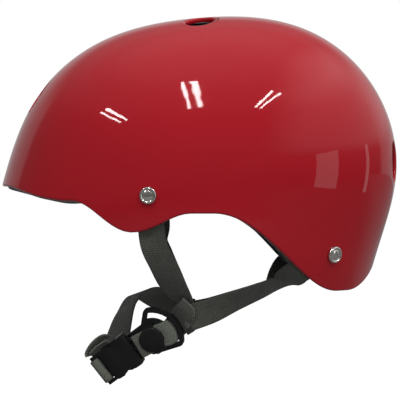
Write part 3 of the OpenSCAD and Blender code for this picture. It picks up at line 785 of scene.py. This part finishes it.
def pad_mesh(pad, shrink, thick):
    """A closed cushion: a ball drawn out to the pad's outline and laid along the liner."""
    bm = bmesh.new()
    bmesh.ops.create_uvsphere(bm, u_segments=72, v_segments=24, radius=1)
    for v in bm.verts:
        low = v.co.z < 0
        r = min(math.hypot(v.co.x, v.co.y), 1)
        rise = 0.12 * r ** 6 if low else PAD_EDGE + (1 - PAD_EDGE) * math.sqrt(1 - r ** 4)
        if low and r > 0.97:
            rise = PAD_EDGE * 0.6
        d = pad_direction(pad, r * shrink, math.atan2(v.co.y, v.co.x))
        v.co = foam_under(d, SEAT + PAD_GAP + thick * rise)
    bmesh.ops.recalc_face_normals(bm, faces=bm.faces)
    return bm


def swell(bm, voxel, pressure, frames, cap):
    """Blows a closed cushion up as cloth, capping how far any point moves; sizes in mm."""
    bmesh.ops.scale(bm, vec=(MM, MM, MM), verts=bm.verts)
    mesh = bpy.data.meshes.new("swelling")
    bm.to_mesh(mesh)
    bm.free()
    cushion = bpy.data.objects.new("swelling", mesh)
    scene.collection.objects.link(cushion)
    remesh = cushion.modifiers.new("remesh", "REMESH")
    remesh.mode = "VOXEL"
    remesh.voxel_size = voxel * MM
    graph = bpy.context.evaluated_depsgraph_get()
    even = bpy.data.meshes.new_from_object(cushion.evaluated_get(graph))
    cushion.modifiers.clear()
    cushion.data = even
    rest = [v.co.copy() for v in even.vertices]
    swollen = rest
    cloth = cushion.modifiers.new("cloth", "CLOTH")
    cloth.settings.quality = 6
    cloth.settings.use_pressure = True
    cloth.settings.uniform_pressure_force = pressure
    cloth.settings.effector_weights.gravity = 0
    cloth.point_cache.frame_start = 1
    cloth.point_cache.frame_end = frames
    for frame_number in range(1, frames + 1):
        scene.frame_set(frame_number)
    graph = bpy.context.evaluated_depsgraph_get()
    swollen = [v.co.copy() for v in cushion.evaluated_get(graph).data.vertices]
    scene.frame_set(1)
    result = bmesh.new()
    result.from_mesh(even)
    result.verts.ensure_lookup_table()
    for v, before, after in zip(result.verts, rest, swollen):
        step = after - before
        if step.length > cap * MM:
            step.length = cap * MM
        v.co = before + step
    bpy.data.objects.remove(cushion)
    bmesh.ops.scale(result, vec=(1 / MM, 1 / MM, 1 / MM), verts=result.verts)
    return result


def closed_tube(path, across, radius_out, radius_up):
    """A tube round a closed path: across gives its first axis at each point."""
    count = len(path)
    bm = bmesh.new()
    bmesh.ops.create_circle(bm, segments=10, radius=1)
    angle = bm.verts.layers.float.new("angle")
    for v in bm.verts:
        v[angle] = math.atan2(v.co.y, v.co.x)

    def place(v, k):
        """Where a vertex of the tube's ring goes at the path's point k."""
        way = (path[(k + 1) % count] - path[(k - 1) % count]).normalized()
        out = across[k % count]
        up = way.cross(out).normalized()
        out = up.cross(way)
        return (path[k % count] + radius_out * math.cos(v[angle]) * out
                + radius_up * math.sin(v[angle]) * up)

    for v in bm.verts:
        v.co = place(v, 0)
    extrude_rings(bm, bm.edges[:], range(1, count + 1), place)
    bmesh.ops.remove_doubles(bm, verts=bm.verts, dist=0.001)
    bmesh.ops.recalc_face_normals(bm, faces=bm.faces)
    return bm


knit, look = new_material("brushed_knit")
here = object_place(knit)
spots = placed_group(mottle, here, Broad_Scale=55.0, Fine_Scale=1500.0)
tone_and_gloss(look, PAD_GREY, spots["Broad"], (0.75, 1.35), spots["Fine"], (0.78, 0.95))
give(look["Sheen Weight"], 0.35)
give(look["Sheen Roughness"], 0.45)
bump(look, calculate("ADD", cells(here, 1100)[0], spots["Fine"]), 0.45, 0.0005)

binding, look = new_material("edge_binding_tape")
spots = placed_group(mottle, object_place(binding), Broad_Scale=60.0, Fine_Scale=2200.0)
tone_and_gloss(look, PAD_GREY, spots["Fine"], (0.35, 0.8), spots["Broad"], (0.7, 0.85))
bump(look, spots["Fine"], 0.4, 0.0004)

for pad_name, pad in PADS.items():
    cushion = swell(pad_mesh(pad, PAD_INSIDE_TAPE, PAD_THICK - PAD_SWELL),
                    voxel=3.6, pressure=3.0, frames=16, cap=5)
    side = heading(pad[0] + 90, 0)
    middle = heading(pad[0], pad[1])
    for v in cushion.verts:
        q = v.co - DOME_CENTRE
        x = q.dot(side) / q.dot(middle) / math.tan(math.radians(pad[2]))
        for groove in PAD_CHANNELS.get(pad_name, ()):
            pinch = math.exp(-((x - groove) / GROOVE_WIDTH) ** 2)
            base = foam_under(q, SEAT + PAD_GAP + GROOVE_FLOOR)
            v.co = v.co.lerp(base, GROOVE_PINCH * pinch)
    cushion_skin = BVHTree.FromBMesh(cushion)
    turns = [2 * math.pi * k / TAPE_STEPS for k in range(TAPE_STEPS)]
    tape_depth = SEAT + PAD_GAP + TAPE_RISE * PAD_THICK
    edge = [foam_under(pad_direction(pad, PAD_INSIDE_TAPE, a), tape_depth) for a in turns]
    edge = [cushion_skin.find_nearest(p)[0] for p in edge]
    outward = [(edge[k] - foam_under(pad_direction(pad, 0.5, a), SEAT + PAD_GAP)).normalized()
               for k, a in enumerate(turns)]
    tape = new_piece(closed_tube(edge, outward, TAPE_HALF_WIDTH, TAPE_HALF_HEIGHT),
                     pad_name + "_binding", binding)
    pad_piece = new_piece(cushion, pad_name + "_cushion", knit)
    rounder = pad_piece.modifiers.new("rounder", "SUBSURF")
    rounder.levels = rounder.render_levels = 1
    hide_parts(pad_name)

# The hook discs are moulded plastic with a dense pile of little hooks, painted darker towards
# their roots as shade.
HOOK_TIPS = (0.03, 0.03, 0.032, 1)
HOOK_ROOT_SHADE = (0.006, 0.006, 0.006, 1)
hook_pile, look = new_material("hook_pile")
from_hook, _ = cells(object_place(hook_pile), 850, 0.4)
give(look["Base Color"], tint(from_hook, HOOK_TIPS, HOOK_ROOT_SHADE))
give(look["Roughness"], spread(from_hook, 0.45, 0.85))
bump(look, calculate("MULTIPLY", from_hook, -1.0), 0.8, 0.001)
disc_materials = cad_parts["pad_hook_discs"].data.materials
disc_materials.clear()
disc_materials.append(hook_pile)


# Rivets and washers
# Nickel-plated steel, turned with a raised rim round a low dome. Each goes through the shell
# and the webbing, and its hollow end is rolled over a washer in the liner's pocket.
RIVET_R = 5.8
SHANK_R = 2.5
GRIP = 7.4
HEAD = ((0, 2.45), (0.9, 2.43), (1.8, 2.34), (2.6, 2.18), (3.1, 2.0), (3.45, 1.82), (3.75, 1.74),
        (4.0, 1.82), (4.18, 2.02), (4.35, 2.2), (4.62, 2.32), (4.92, 2.3), (5.2, 2.16),
        (5.45, 1.9), (5.63, 1.52), (5.74, 1.08), (RIVET_R, 0.62), (RIVET_R, 0.42), (5.7, 0.25),
        (5.5, 0.18), (SHANK_R + 0.35, 0.18), (SHANK_R, 0.0))
TAIL = ((SHANK_R, -GRIP), (SHANK_R + 0.6, -GRIP - 0.05), (SHANK_R + 1.1, -GRIP - 0.3),
        (SHANK_R + 1.15, -GRIP - 0.6), (SHANK_R + 0.8, -GRIP - 0.85),
        (SHANK_R + 0.1, -GRIP - 0.88), (SHANK_R - 0.6, -GRIP - 0.6), (SHANK_R - 0.8, -GRIP),
        (SHANK_R - 0.9, -GRIP + 3), (0, -GRIP + 3.4))
WASHER_R = 6.5
WASHER = ((SHANK_R + 0.15, -GRIP + 1.0), (WASHER_R - 0.2, -GRIP + 1.0), (WASHER_R, -GRIP + 0.85),
          (WASHER_R, -GRIP + 0.2), (WASHER_R - 0.2, -GRIP + 0.05),
          (SHANK_R + 0.15, -GRIP + 0.05), (SHANK_R + 0.15, -GRIP + 1.0))
NICKEL = (0.61, 0.595, 0.565, 1)


def side_skin(side, y, z):
    """The point of the outer skin that a side view shows at y, z."""
    v, u = (z - DOME_CENTRE.z) / HALF_HEIGHT, y / HALF_LENGTH
    rho = math.hypot(u, v) / fullness(math.degrees(math.atan2(v, u)))
    return Vector((side * HALF_WIDTH * max(1 - rho ** BULGE, 0) ** (1 / BULGE), y, z))


def spun(profile, steps):
    """A closed turned shape from a profile of (radius, height)."""
    bm = bmesh.new()
    verts = [bm.verts.new((r, 0, h)) for r, h in profile]
    edges = [bm.edges.new(pair) for pair in zip(verts, verts[1:])]
    bmesh.ops.spin(bm, geom=verts + edges, cent=(0, 0, 0), axis=(0, 0, 1),
                   angle=2 * math.pi, steps=steps, use_merge=True)
    bmesh.ops.remove_doubles(bm, verts=bm.verts, dist=0.0005)
    bmesh.ops.recalc_face_normals(bm, faces=bm.faces)
    return bm


plating, look = new_material("nickel_plating")
spots = placed_group(mottle, object_place(plating), Broad_Scale=240.0, Fine_Scale=1800.0)
give(look["Base Color"], tint(spots["Broad"], shaded(NICKEL, 0.9), shaded(NICKEL, 1.08)))
give(look["Metallic"], 1.0)
scuff = calculate("MULTIPLY", spots["Specks"], 0.25)
give(look["Roughness"], calculate("ADD", spread(spots["Broad"], 0.10, 0.22), scuff))
bump(look, spots["Fine"], 0.04, 0.0003)

for side, side_name in ((1, "left"), (-1, "right")):
    for (y, z), place in zip(RIVET_YZ, ("front", "rear")):
        p = side_skin(side, y, z)
        axes = surface_frame(normal_at(p))
        rivet = spun(HEAD + TAIL, 64)
        stand(rivet, p, axes)
        node = "rivet_" + place + "_" + side_name
        piece = new_piece(rivet, "set_" + node, plating)
        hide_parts(node)
        washer = spun(WASHER, 48)
        stand(washer, p, axes)
        piece = new_piece(washer, "washer_" + place + "_" + side_name, plating)
        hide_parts("rivet_washers")


# Harness webbing
# Flat charcoal polyester webbing, 18 mm wide and 1.4 mm thick, woven with a fine cross rib and
# closed edges. Each band is riveted under the shell, hangs down to the junction below the ear
# and is sewn there to its neighbours.
WEB_WIDTH = 18
WEB_THICK = 1.4
WEB_INSET = 5.1
WEB_GREY = (0.043, 0.0455, 0.038, 1)
FRONT_HANG = (((96.5, -30, -56), (0, 0.94, 0.34)), ((91, -25, -67), (0.05, 0.9, 0.42)),
              ((84, -20, -78), (0.25, 0.85, 0.4)), ((76.5, -14.5, -88), (0.7, 0.65, 0.35)),
              ((70.4, -9, -95.5), (0.95, 0.3, 0.2)))
REAR_HANG = (((67.8, 55, -80), (-0.86, 0.18, -0.48)), ((71, 42, -85.5), (-0.79, 0.22, -0.57)),
             ((75.5, 24, -92.5), (-0.63, 0.29, -0.72)), ((78.3, 8, -99), (-0.33, 0.36, -0.87)),
             ((78, -5.8, -103.6), (-0.05, 0.37, -0.93)), ((74.4, -9.3, -106.1), (-0.1, 0.4, -0.9)),
             ((68.8, -12.8, -108.6), (-0.1, 0.45, -0.87)))
FRONT_SLACK = ((3.6, 0), (4.2, 0), (4.2, 0), (3, 1.5), (1.2, 4))
REAR_SLACK = ((0, 8), (0, 8.5), (0, 8.5), (0, 8), (0, 6.5), (0, 5), (0, 4))
REAR_END_CUT = 6.5
END_ROUNDING = 0.3
CHEVRON = 1.5
RIB_PITCH = 1.35
WOVEN_EDGE = 1.1
# Where the chin webbing's painted light begins and is full, in mm along its band.
PAINTED_LIGHT_FROM_TO = (17, 23)

# Ribs across the band, a little broken into chevrons, between two smooth woven edges.
weave, given, result = group_of(
    "woven_band", (("Vector", "Vector", None), ("Half Width", "Value", 9.0),
                   ("Rib Pitch", "Value", 1.0)),
    (("Height", "Value"), ("Shade And Tone", "Value")))
lay = axes_of(given["Vector"])
across, along = lay["X"], lay["Y"]
chevron = calculate("PINGPONG", across, CHEVRON)
shifted = calculate("ADD", along, calculate("MULTIPLY", chevron, 0.5))
phase = calculate("MULTIPLY", calculate("DIVIDE", shifted, given["Rib Pitch"]), math.pi)
rib = calculate("ABSOLUTE", calculate("SINE", phase))
warp = calculate("SINE", calculate("MULTIPLY", across, math.pi / CHEVRON))
yarn = calculate("ADD", calculate("MULTIPLY", rib, 0.8),
                 calculate("MULTIPLY", calculate("ABSOLUTE", warp), 0.45))
from_edge = calculate("SUBTRACT", given["Half Width"], calculate("ABSOLUTE", across))
edge = calculate("LESS_THAN", from_edge, WOVEN_EDGE)
flat_part = calculate("SUBTRACT", 1.0, calculate("MULTIPLY", edge, 0.5))
fuzz = calculate("MULTIPLY", noise_value(given["Vector"], 2.6, 2), 0.3)
height = calculate("ADD", calculate("MULTIPLY", yarn, flat_part), fuzz)
give(result["Height"], height)
# The tone is painted shade, darker in the valleys between the yarns and over the flatter woven
# edges, plus a broad random unevenness of tone.
broad = calculate("MULTIPLY", noise_value(given["Vector"], 0.16, 3), 0.45)
give(result["Shade And Tone"], calculate("ADD", calculate("MULTIPLY", height, 0.55), broad))


def woven_material(name, painted_light_gain):
    """Charcoal webbing with its weave's painted shade; a gain over 1 also paints it lighter, as
    painted light, once past a span of millimetres along its band.
    """
    material, look = new_material(name)
    lay = material.node_tree.nodes.new("ShaderNodeUVMap")
    lay.uv_map = "lay"
    woven = placed_group(weave, lay.outputs["UV"], Rib_Pitch=RIB_PITCH)
    tone = tint(woven["Shade And Tone"], shaded(WEB_GREY, 0.4), shaded(WEB_GREY, 1.75))
    if painted_light_gain > 1:
        lighter = node_by("ShaderNodeVectorMath", tone)
        lighter.operation = "SCALE"
        give(lighter.inputs["Scale"],
             smooth_step(axes_of(lay.outputs["UV"])["Y"], *PAINTED_LIGHT_FROM_TO, 1, painted_light_gain))
        tone = lighter.outputs["Vector"]
    give(look["Base Color"], tone)
    give(look["Roughness"], spread(woven["Shade And Tone"], 0.9, 0.62))
    give(look["Sheen Weight"], 0.12)
    give(look["Sheen Roughness"], 0.4)
    bump(look, woven["Height"], 0.7, 0.0005)
    return material


webbing = woven_material("charcoal_webbing", 1)
# The chin webbing is painted lighter along most of its length, as painted light.
chin_webbing = woven_material("chin_webbing", 2.1)


def bend_curve(f, a, b, c, d):
    """A place at a share f of the way from b to c, on a smooth curve through all four."""
    return 0.5 * (2 * b + (c - a) * f + (2 * a - 5 * b + 4 * c - d) * f * f
                  + (3 * b - a - 3 * c + d) * f ** 3)


def fine_route(stations, step=1.4):
    """Middle points, width directions and leads about every step along a band's stations."""
    points = [tuple(Vector(part) for part in (*s, (0, 0, 0))[:3]) for s in stations]
    last = len(points) - 1
    fine = []
    for i in range(last):
        four = [points[min(max(i + k, 0), last)] for k in (-1, 0, 1, 2)]
        count = max(2, math.ceil((four[2][0] - four[1][0]).length / step))
        for k in range(count):
            f = k / count
            fine.append(tuple(bend_curve(f, *(p[part] for p in four)) for part in range(3)))
    fine.append(points[last])
    return fine


def band_axes(fine):
    """For each fine point: the point, ways across and out of the face, lead, and the length."""
    result = []
    length = 0
    for k, (p, a, lead) in enumerate(fine):
        ahead, back = fine[min(k + 1, len(fine) - 1)][0], fine[max(k - 1, 0)][0]
        way = (ahead - back).normalized()
        face = way.cross(a).normalized()
        if k:
            length += (p - fine[k - 1][0]).length
        result.append((p, face.cross(way), face, lead, length))
    return result


def along_band(axes, length):
    """The middle point, ways across and out of the face, and lead at a length along a band."""
    k = next((k for k in range(1, len(axes) - 1) if axes[k][-1] >= length), len(axes) - 1)
    back, ahead = axes[k - 1], axes[k]
    f = (length - back[-1]) / (ahead[-1] - back[-1])
    return [back[part].lerp(ahead[part], f) for part in range(4)]


def flat_band(name, stations, width, material=webbing, body="root", trim=None, from_mm=0):
    """A woven band with rounded edges along its stations, its UV in millimetres.

    A station's third part is how far the band's edges lead its middle there. Where a band is
    trimmed, trim says how much is cut off each end at a place across it, from -1 to 1."""
    axes = band_axes(fine_route(stations))
    total = axes[-1][-1]
    last = len(axes) - 1
    bm = bmesh.new()
    across = bm.verts.layers.float.new("across")
    rise = bm.verts.layers.float.new("rise")
    along = bm.verts.layers.float.new("along")
    column = bm.verts.layers.int.new("column")
    half, t = width / 2, WEB_THICK / 2
    top = [(-half + 0.15, 0.35), (-half + 0.4, 0.75), (-half + 0.9, 0.98)]
    top += [(x * half, 1) for x in (-0.8, -0.68, -0.56, -0.42, -0.26, -0.1)]
    section = top + [(-x, z) for x, z in reversed(top)]
    section += [(-x, -z) for x, z in section]

    def place(v, k):
        """Where a vertex of the band's section goes at the fine point k, inside the trim."""
        before, behind = trim(v[across] / half) if trim else (0, 0)
        length = max(axes[k][-1], before + (END_ROUNDING if k else 0))
        length = min(length, total - behind - (END_ROUNDING if k < last else 0))
        p, x_way, z_way, lead = along_band(axes, length)
        v[along] = from_mm + length
        height = v[rise] * (1 if 0 < k < last else 0.55)
        return p + v[across] * x_way + height * z_way + (v[across] / half) ** 2 * lead

    ring = []
    for i, (x, z) in enumerate(section):
        v = bm.verts.new()
        v[across], v[rise], v[column] = x, z * t, i
        v.co = place(v, 0)
        ring.append(v)
    edges = [bm.edges.new((ring[i], ring[(i + 1) % len(ring)])) for i in range(len(ring))]
    end = extrude_rings(bm, edges, range(1, len(axes)), place)
    for loop in (ring, sorted({v for e in end for v in e.verts}, key=lambda v: v[column])):
        for i in range(len(section) // 2 - 1):
            bm.faces.new((loop[i], loop[i + 1], loop[-2 - i], loop[-1 - i]))
    bmesh.ops.remove_doubles(bm, verts=bm.verts, dist=0.002)
    bmesh.ops.recalc_face_normals(bm, faces=bm.faces)
    lay_map = bm.loops.layers.uv.new("lay")
    for f in bm.faces:
        for corner in f.loops:
            corner[lay_map].uv = (corner.vert[across], corner.vert[along])
    return new_piece(bm, name, material, body)


def side_under(side, y, z, inset):
    """A point some way under the skin that a side view shows at y, z."""
    p = side_skin(side, y, z)
    return p - inset * normal_at(p)


def lying(side, places):
    """Stations that lie flat against the inside of the shell."""
    points = [side_under(side, y, z, WEB_INSET + more) for y, z, more in places]
    last = len(points) - 1
    stations = []
    for i, (y, z, more) in enumerate(places):
        way = points[min(i + 1, last)] - points[max(i - 1, 0)]
        n = normal_at(side_skin(side, y, z))
        stations.append((points[i], side * n.cross(way).normalized()))
    return stations


def hanging(side, stations, slack):
    """Stations below the shell. The right side's hang slack, so far forward and so far down."""
    return [((side * p[0], p[1] - (side < 0) * forward, p[2] - (side < 0) * down),
             (side * a[0], a[1], a[2])) for (p, a), (forward, down) in zip(stations, slack)]


for side, side_name in ((1, "left"), (-1, "right")):
    band = flat_band("front_band_" + side_name,
                     lying(side, FRONT_ROUTE) + hanging(side, FRONT_HANG, FRONT_SLACK), WEB_WIDTH)
    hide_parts("front_strap_" + side_name)
    band = flat_band("rear_band_" + side_name,
                     lying(side, REAR_ROUTE) + hanging(side, REAR_HANG, REAR_SLACK), WEB_WIDTH,
                     trim=lambda f: (0, REAR_END_CUT * ease(0.5 - f / 2)))
    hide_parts("rear_strap_" + side_name)


# Chin buckle
# A side-release buckle moulded in black acetal: a ring half with an arched slot, a deck and a
# domed thumb plate that traps the webbing, and a socket half that the two prongs click into.
BUCKLE_AT = Vector((72, -19, -105))
BUCKLE_SWING, BUCKLE_DIP, BUCKLE_ROLL = -18, 35.5, -15
BUCKLE_TURN = (Matrix.Rotation(math.radians(BUCKLE_SWING), 3, "Z")
               @ Matrix.Rotation(math.radians(BUCKLE_DIP), 3, "X")
               @ Matrix(((0, 0, 1), (-1, 0, 0), (0, -1, 0)))
               @ Matrix.Rotation(math.radians(BUCKLE_ROLL), 3, "X"))
ACETAL = (0.0075, 0.0078, 0.0078, 1)
ACETAL_IOR = 1.3
DECK_T = 3.4
DECK_WEB_AT = (29.6, 0.4, -DECK_T / 2 - 0.15)
DECK_WEB_SIZE = (6.8, 18.6, 0.5)
PLATE_AT = (19, 3)
LANE_SLANT = math.radians(7)
MOUTH = 33.4
HOUSING = 23
HOUSING_END = MOUTH + HOUSING
SOCKET_T = 9.6
BAR_R = 2
BAR_X = HOUSING_END + 5.4
LYING_ON = 0.1 + WEB_THICK / 2
DECK_TOP = DECK_T / 2 + LYING_ON
LOOP_BACK = BAR_R + LYING_ON


def in_buckle(x, y, z):
    """A place in the buckle, x along it from its ring, y across it and z out of its face."""
    return BUCKLE_AT + BUCKLE_TURN @ Vector((x, y, z))


acetal, look = new_material("black_acetal")
spots = placed_group(mottle, object_place(acetal), Broad_Scale=70.0, Fine_Scale=1400.0)
tone_and_gloss(look, ACETAL, spots["Broad"], (0.8, 1.4), spots["Fine"], (0.32, 0.48))
give(look["IOR"], ACETAL_IOR)
bump(look, spots["Fine"], 0.18, 0.0004)


def eased_copy(node, name, body, width=0.35):
    """A merged copy of a moulded part's solid with its edges eased, in place of the solid."""
    bm = bmesh.new()
    bm.from_mesh(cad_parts[node].data)
    bmesh.ops.scale(bm, vec=(1 / MM, 1 / MM, 1 / MM), verts=bm.verts)
    bmesh.ops.remove_doubles(bm, verts=bm.verts, dist=0.01)
    bmesh.ops.dissolve_limit(bm, angle_limit=math.radians(2), verts=bm.verts, edges=bm.edges)
    piece = new_piece(bm, name, acetal, body)
    ease_edges = piece.modifiers.new("eased_edges", "BEVEL")
    ease_edges.width = width * MM
    ease_edges.segments = 2
    ease_edges.limit_method = "ANGLE"
    ease_edges.angle_limit = math.radians(28)
    ease_edges.harden_normals = True
    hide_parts(node)


eased_copy("buckle_frame", "ring_half", "root")
eased_copy("buckle_socket", "socket_half_moulding", "socket_half")
eased_copy("buckle_prong_upper", "latch_prong_upper", "prong_upper", width=0.25)
eased_copy("buckle_prong_lower", "latch_prong_lower", "prong_lower", width=0.25)

# A thin web closes the ring half below the roots of its prongs.
deck_web = bmesh.new()
bmesh.ops.create_cube(deck_web, size=1, matrix=Matrix.Translation(DECK_WEB_AT)
                      @ Matrix.Diagonal((*DECK_WEB_SIZE, 1)))
bmesh.ops.transform(deck_web, matrix=Matrix.Translation(BUCKLE_AT) @ BUCKLE_TURN.to_4x4(),
                    verts=deck_web.verts)
bmesh.ops.bevel(deck_web, geom=deck_web.edges, offset=0.12, affect="EDGES", segments=2,
                profile=0.5, material=-1)
new_piece(deck_web, "ring_half_web", acetal)


# Near chin strap
# The near band is folded out from the junction and runs under the ring's rim, up through its
# arched slot, where its edges lead round the arch, and under the thumb plate.
NEAR_WIDTH = WEB_WIDTH - 1
NEAR_JUNCTION = [((81.2, -4.9, -96), (0, 0.72, -0.69)), ((80, -8.7, -100), (0, 0.72, -0.69)),
                 ((76, -12.1, -103.7), (-0.03, 0.65, -0.76))]
FOLD_CUT = 14

# Along the lane from the plate's middle: distance, height, how far the edges lead, and sideways.
LANE = ((-20.5, -DECK_TOP - 0.4, 1.7, 0.4), (-18.2, -DECK_TOP - 0.1, 2.1, 0.9),
        (-17, -1.6, 2.2, 1.2), (-16.2, 0.1, 2.3, 1.3), (-15.6, 1.7, 2.5, 1.4),
        (-14.3, DECK_TOP - 0.4, 2.6, 1.4), (-12, DECK_TOP + 0.3, 2.2, 1.2),
        (-8.5, DECK_TOP + 0.3, 1, 0.7), (-3, DECK_TOP + 0.1, 0, 0.2),
        (4, DECK_TOP + 0.05, 0, 0), (12.3, DECK_TOP, 0, 0))
lane_x, lane_y = math.cos(LANE_SLANT), -math.sin(LANE_SLANT)
lane_across = BUCKLE_TURN @ Vector((-lane_y, lane_x, 0))
near = NEAR_JUNCTION + [
    (in_buckle(PLATE_AT[0] + s * lane_x, PLATE_AT[1] + aside + s * lane_y, z), lane_across,
     BUCKLE_TURN @ Vector((lead * lane_x, lead * lane_y, 0))) for s, z, lead, aside in LANE]


def fold_line(f):
    """How much the near band's folded end is rounded off at a place across it, in mm."""
    return FOLD_CUT * max((f + 0.1) / 1.1, 0) ** 3.2


band = flat_band("chin_band_near", near, NEAR_WIDTH, chin_webbing,
                 trim=lambda f: (fold_line(f), 0))
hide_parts("chin_strap_left")


# Stitches
# Grey polyester thread, sewn along the near band's folded end and through the bands under it.
THREAD = (0.14, 0.144, 0.128, 1)
STITCH_SIZE = (0.85, 0.32, 0.3)
EDGE_STITCHES, EDGE_PITCH = 14, 0.136
SEAM_INSET = 0.8
TACK_STITCHES, TACK_ROW = 12, 4


def sewn(bm, axes, places, half):
    """Adds small raised stitches at places: how far across from -1 to 1, length, and slant."""
    for f, length, slant in places:
        p, x_way, z_way, lead = along_band(axes, length)
        way = x_way.cross(z_way)
        p = p + f * half * x_way + f * f * lead + 0.5 * WEB_THICK * z_way
        turned = math.cos(slant) * x_way + math.sin(slant) * way
        frame_of = Matrix((turned, z_way.cross(turned), z_way)).transposed().to_4x4()
        bmesh.ops.create_icosphere(bm, subdivisions=2, radius=1, matrix=(
            Matrix.Translation(p) @ frame_of @ Matrix.Diagonal((*STITCH_SIZE, 1))))


thread, look = new_material("grey_thread")
spots = placed_group(mottle, object_place(thread), Broad_Scale=400.0, Fine_Scale=2600.0)
tone_and_gloss(look, THREAD, spots["Fine"], (0.6, 1.4), spots["Broad"], (0.6, 0.85))

edge_row = []
for k in range(EDGE_STITCHES):
    f = -0.9 + k * EDGE_PITCH
    slope = (fold_line(f + 0.02) - fold_line(f - 0.02)) / (0.04 * NEAR_WIDTH / 2)
    edge_row.append((f, fold_line(f) + SEAM_INSET, math.atan(slope)))
tack = [(0.55 + 0.11 * (k % TACK_ROW), 12 + 1.2 * (k // TACK_ROW) + 0.5 * (k % 2),
         0.7 - 1.4 * (k % 2)) for k in range(TACK_STITCHES)]
seam = bmesh.new()
sewn(seam, band_axes(fine_route(near)), edge_row + tack, NEAR_WIDTH / 2)
new_piece(seam, "junction_stitches", thread)


# Far chin strap
# The far side's webbing passes under the chin and turns round the socket's bar, and its spare
# end is curled back beside the housing.
FAR_FREE = [((-81.5, -4.5, -108.5), (0, -0.37, 0.93)), ((-81, -13, -107), (0.05, -0.3, 0.95)),
            ((-77, -29, -100), (0.25, 0.25, 0.9)), ((-52, -44, -93.5), (0.3, 0.9, 0.35)),
            ((-12, -53, -103), (0.1, 0.84, 0.54)), ((20, -57, -118), (0, 0.95, 0.31)),
            ((38, -58.5, -128.5), (-0.05, 0.9, -0.3))]
FAR_UNDER_SOCKET = ((HOUSING_END - 11, -SOCKET_T / 2 - 2.4),
                    (HOUSING_END - 3.5, -SOCKET_T / 2 - 0.8), (BAR_X - 0.7, -LOOP_BACK))
# Where the turned band and the spare end start along the band, past the span of the chin webbing's
# painted light.
PAINTED_LIGHT_FULL_AT = 30
SPARE_HEIGHT = -6.5
SPARE_CURL = ((47, -11.6, 0.6), (51, -11.8, 0.6), (56, -11.8, 0.6), (60.5, -11.2, 0.56),
              (63.2, -11.8, 0.5), (63.9, -13, 0.46), (61.8, -14.6, 0.42), (57, -16.4, 0.42),
              (52, -17.2, 0.42), (47.5, -17, 0.42), (44.6, -15.8, 0.42))
across_way = BUCKLE_TURN @ Vector((0, 1, 0))
far = FAR_FREE + [(in_buckle(x, 0, z), across_way) for x, z in FAR_UNDER_SOCKET]
band = flat_band("chin_band_far", far, WEB_WIDTH, body=None)
MM * Vector(far[2][0])
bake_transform(band)
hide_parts("chin_strap_right")
turned = [(in_buckle(BAR_X + LOOP_BACK * math.cos(a), 0, LOOP_BACK * math.sin(a)), across_way)
          for a in (math.radians(k) for k in range(-90, 91, 30))]
turned += [(in_buckle(BAR_X - 2.4, 0, LOOP_BACK - 0.9), across_way),
           (in_buckle(BAR_X - 3.4, 0, 0.2), across_way)]
# The turned band and the spare end carry the chin webbing's painted light all along.
band = flat_band("chin_band_turn", turned, WEB_WIDTH, chin_webbing, "socket_half",
                 from_mm=PAINTED_LIGHT_FULL_AT)
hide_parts("chin_strap_tail")
spare = [(in_buckle(x, y, SPARE_HEIGHT), BUCKLE_TURN @ Vector((0, tilt, -1)))
         for x, y, tilt in SPARE_CURL]
band = flat_band("chin_band_end", spare, WEB_WIDTH - 4, chin_webbing, "socket_half",
                 from_mm=PAINTED_LIGHT_FULL_AT)
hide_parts("chin_strap_tail")
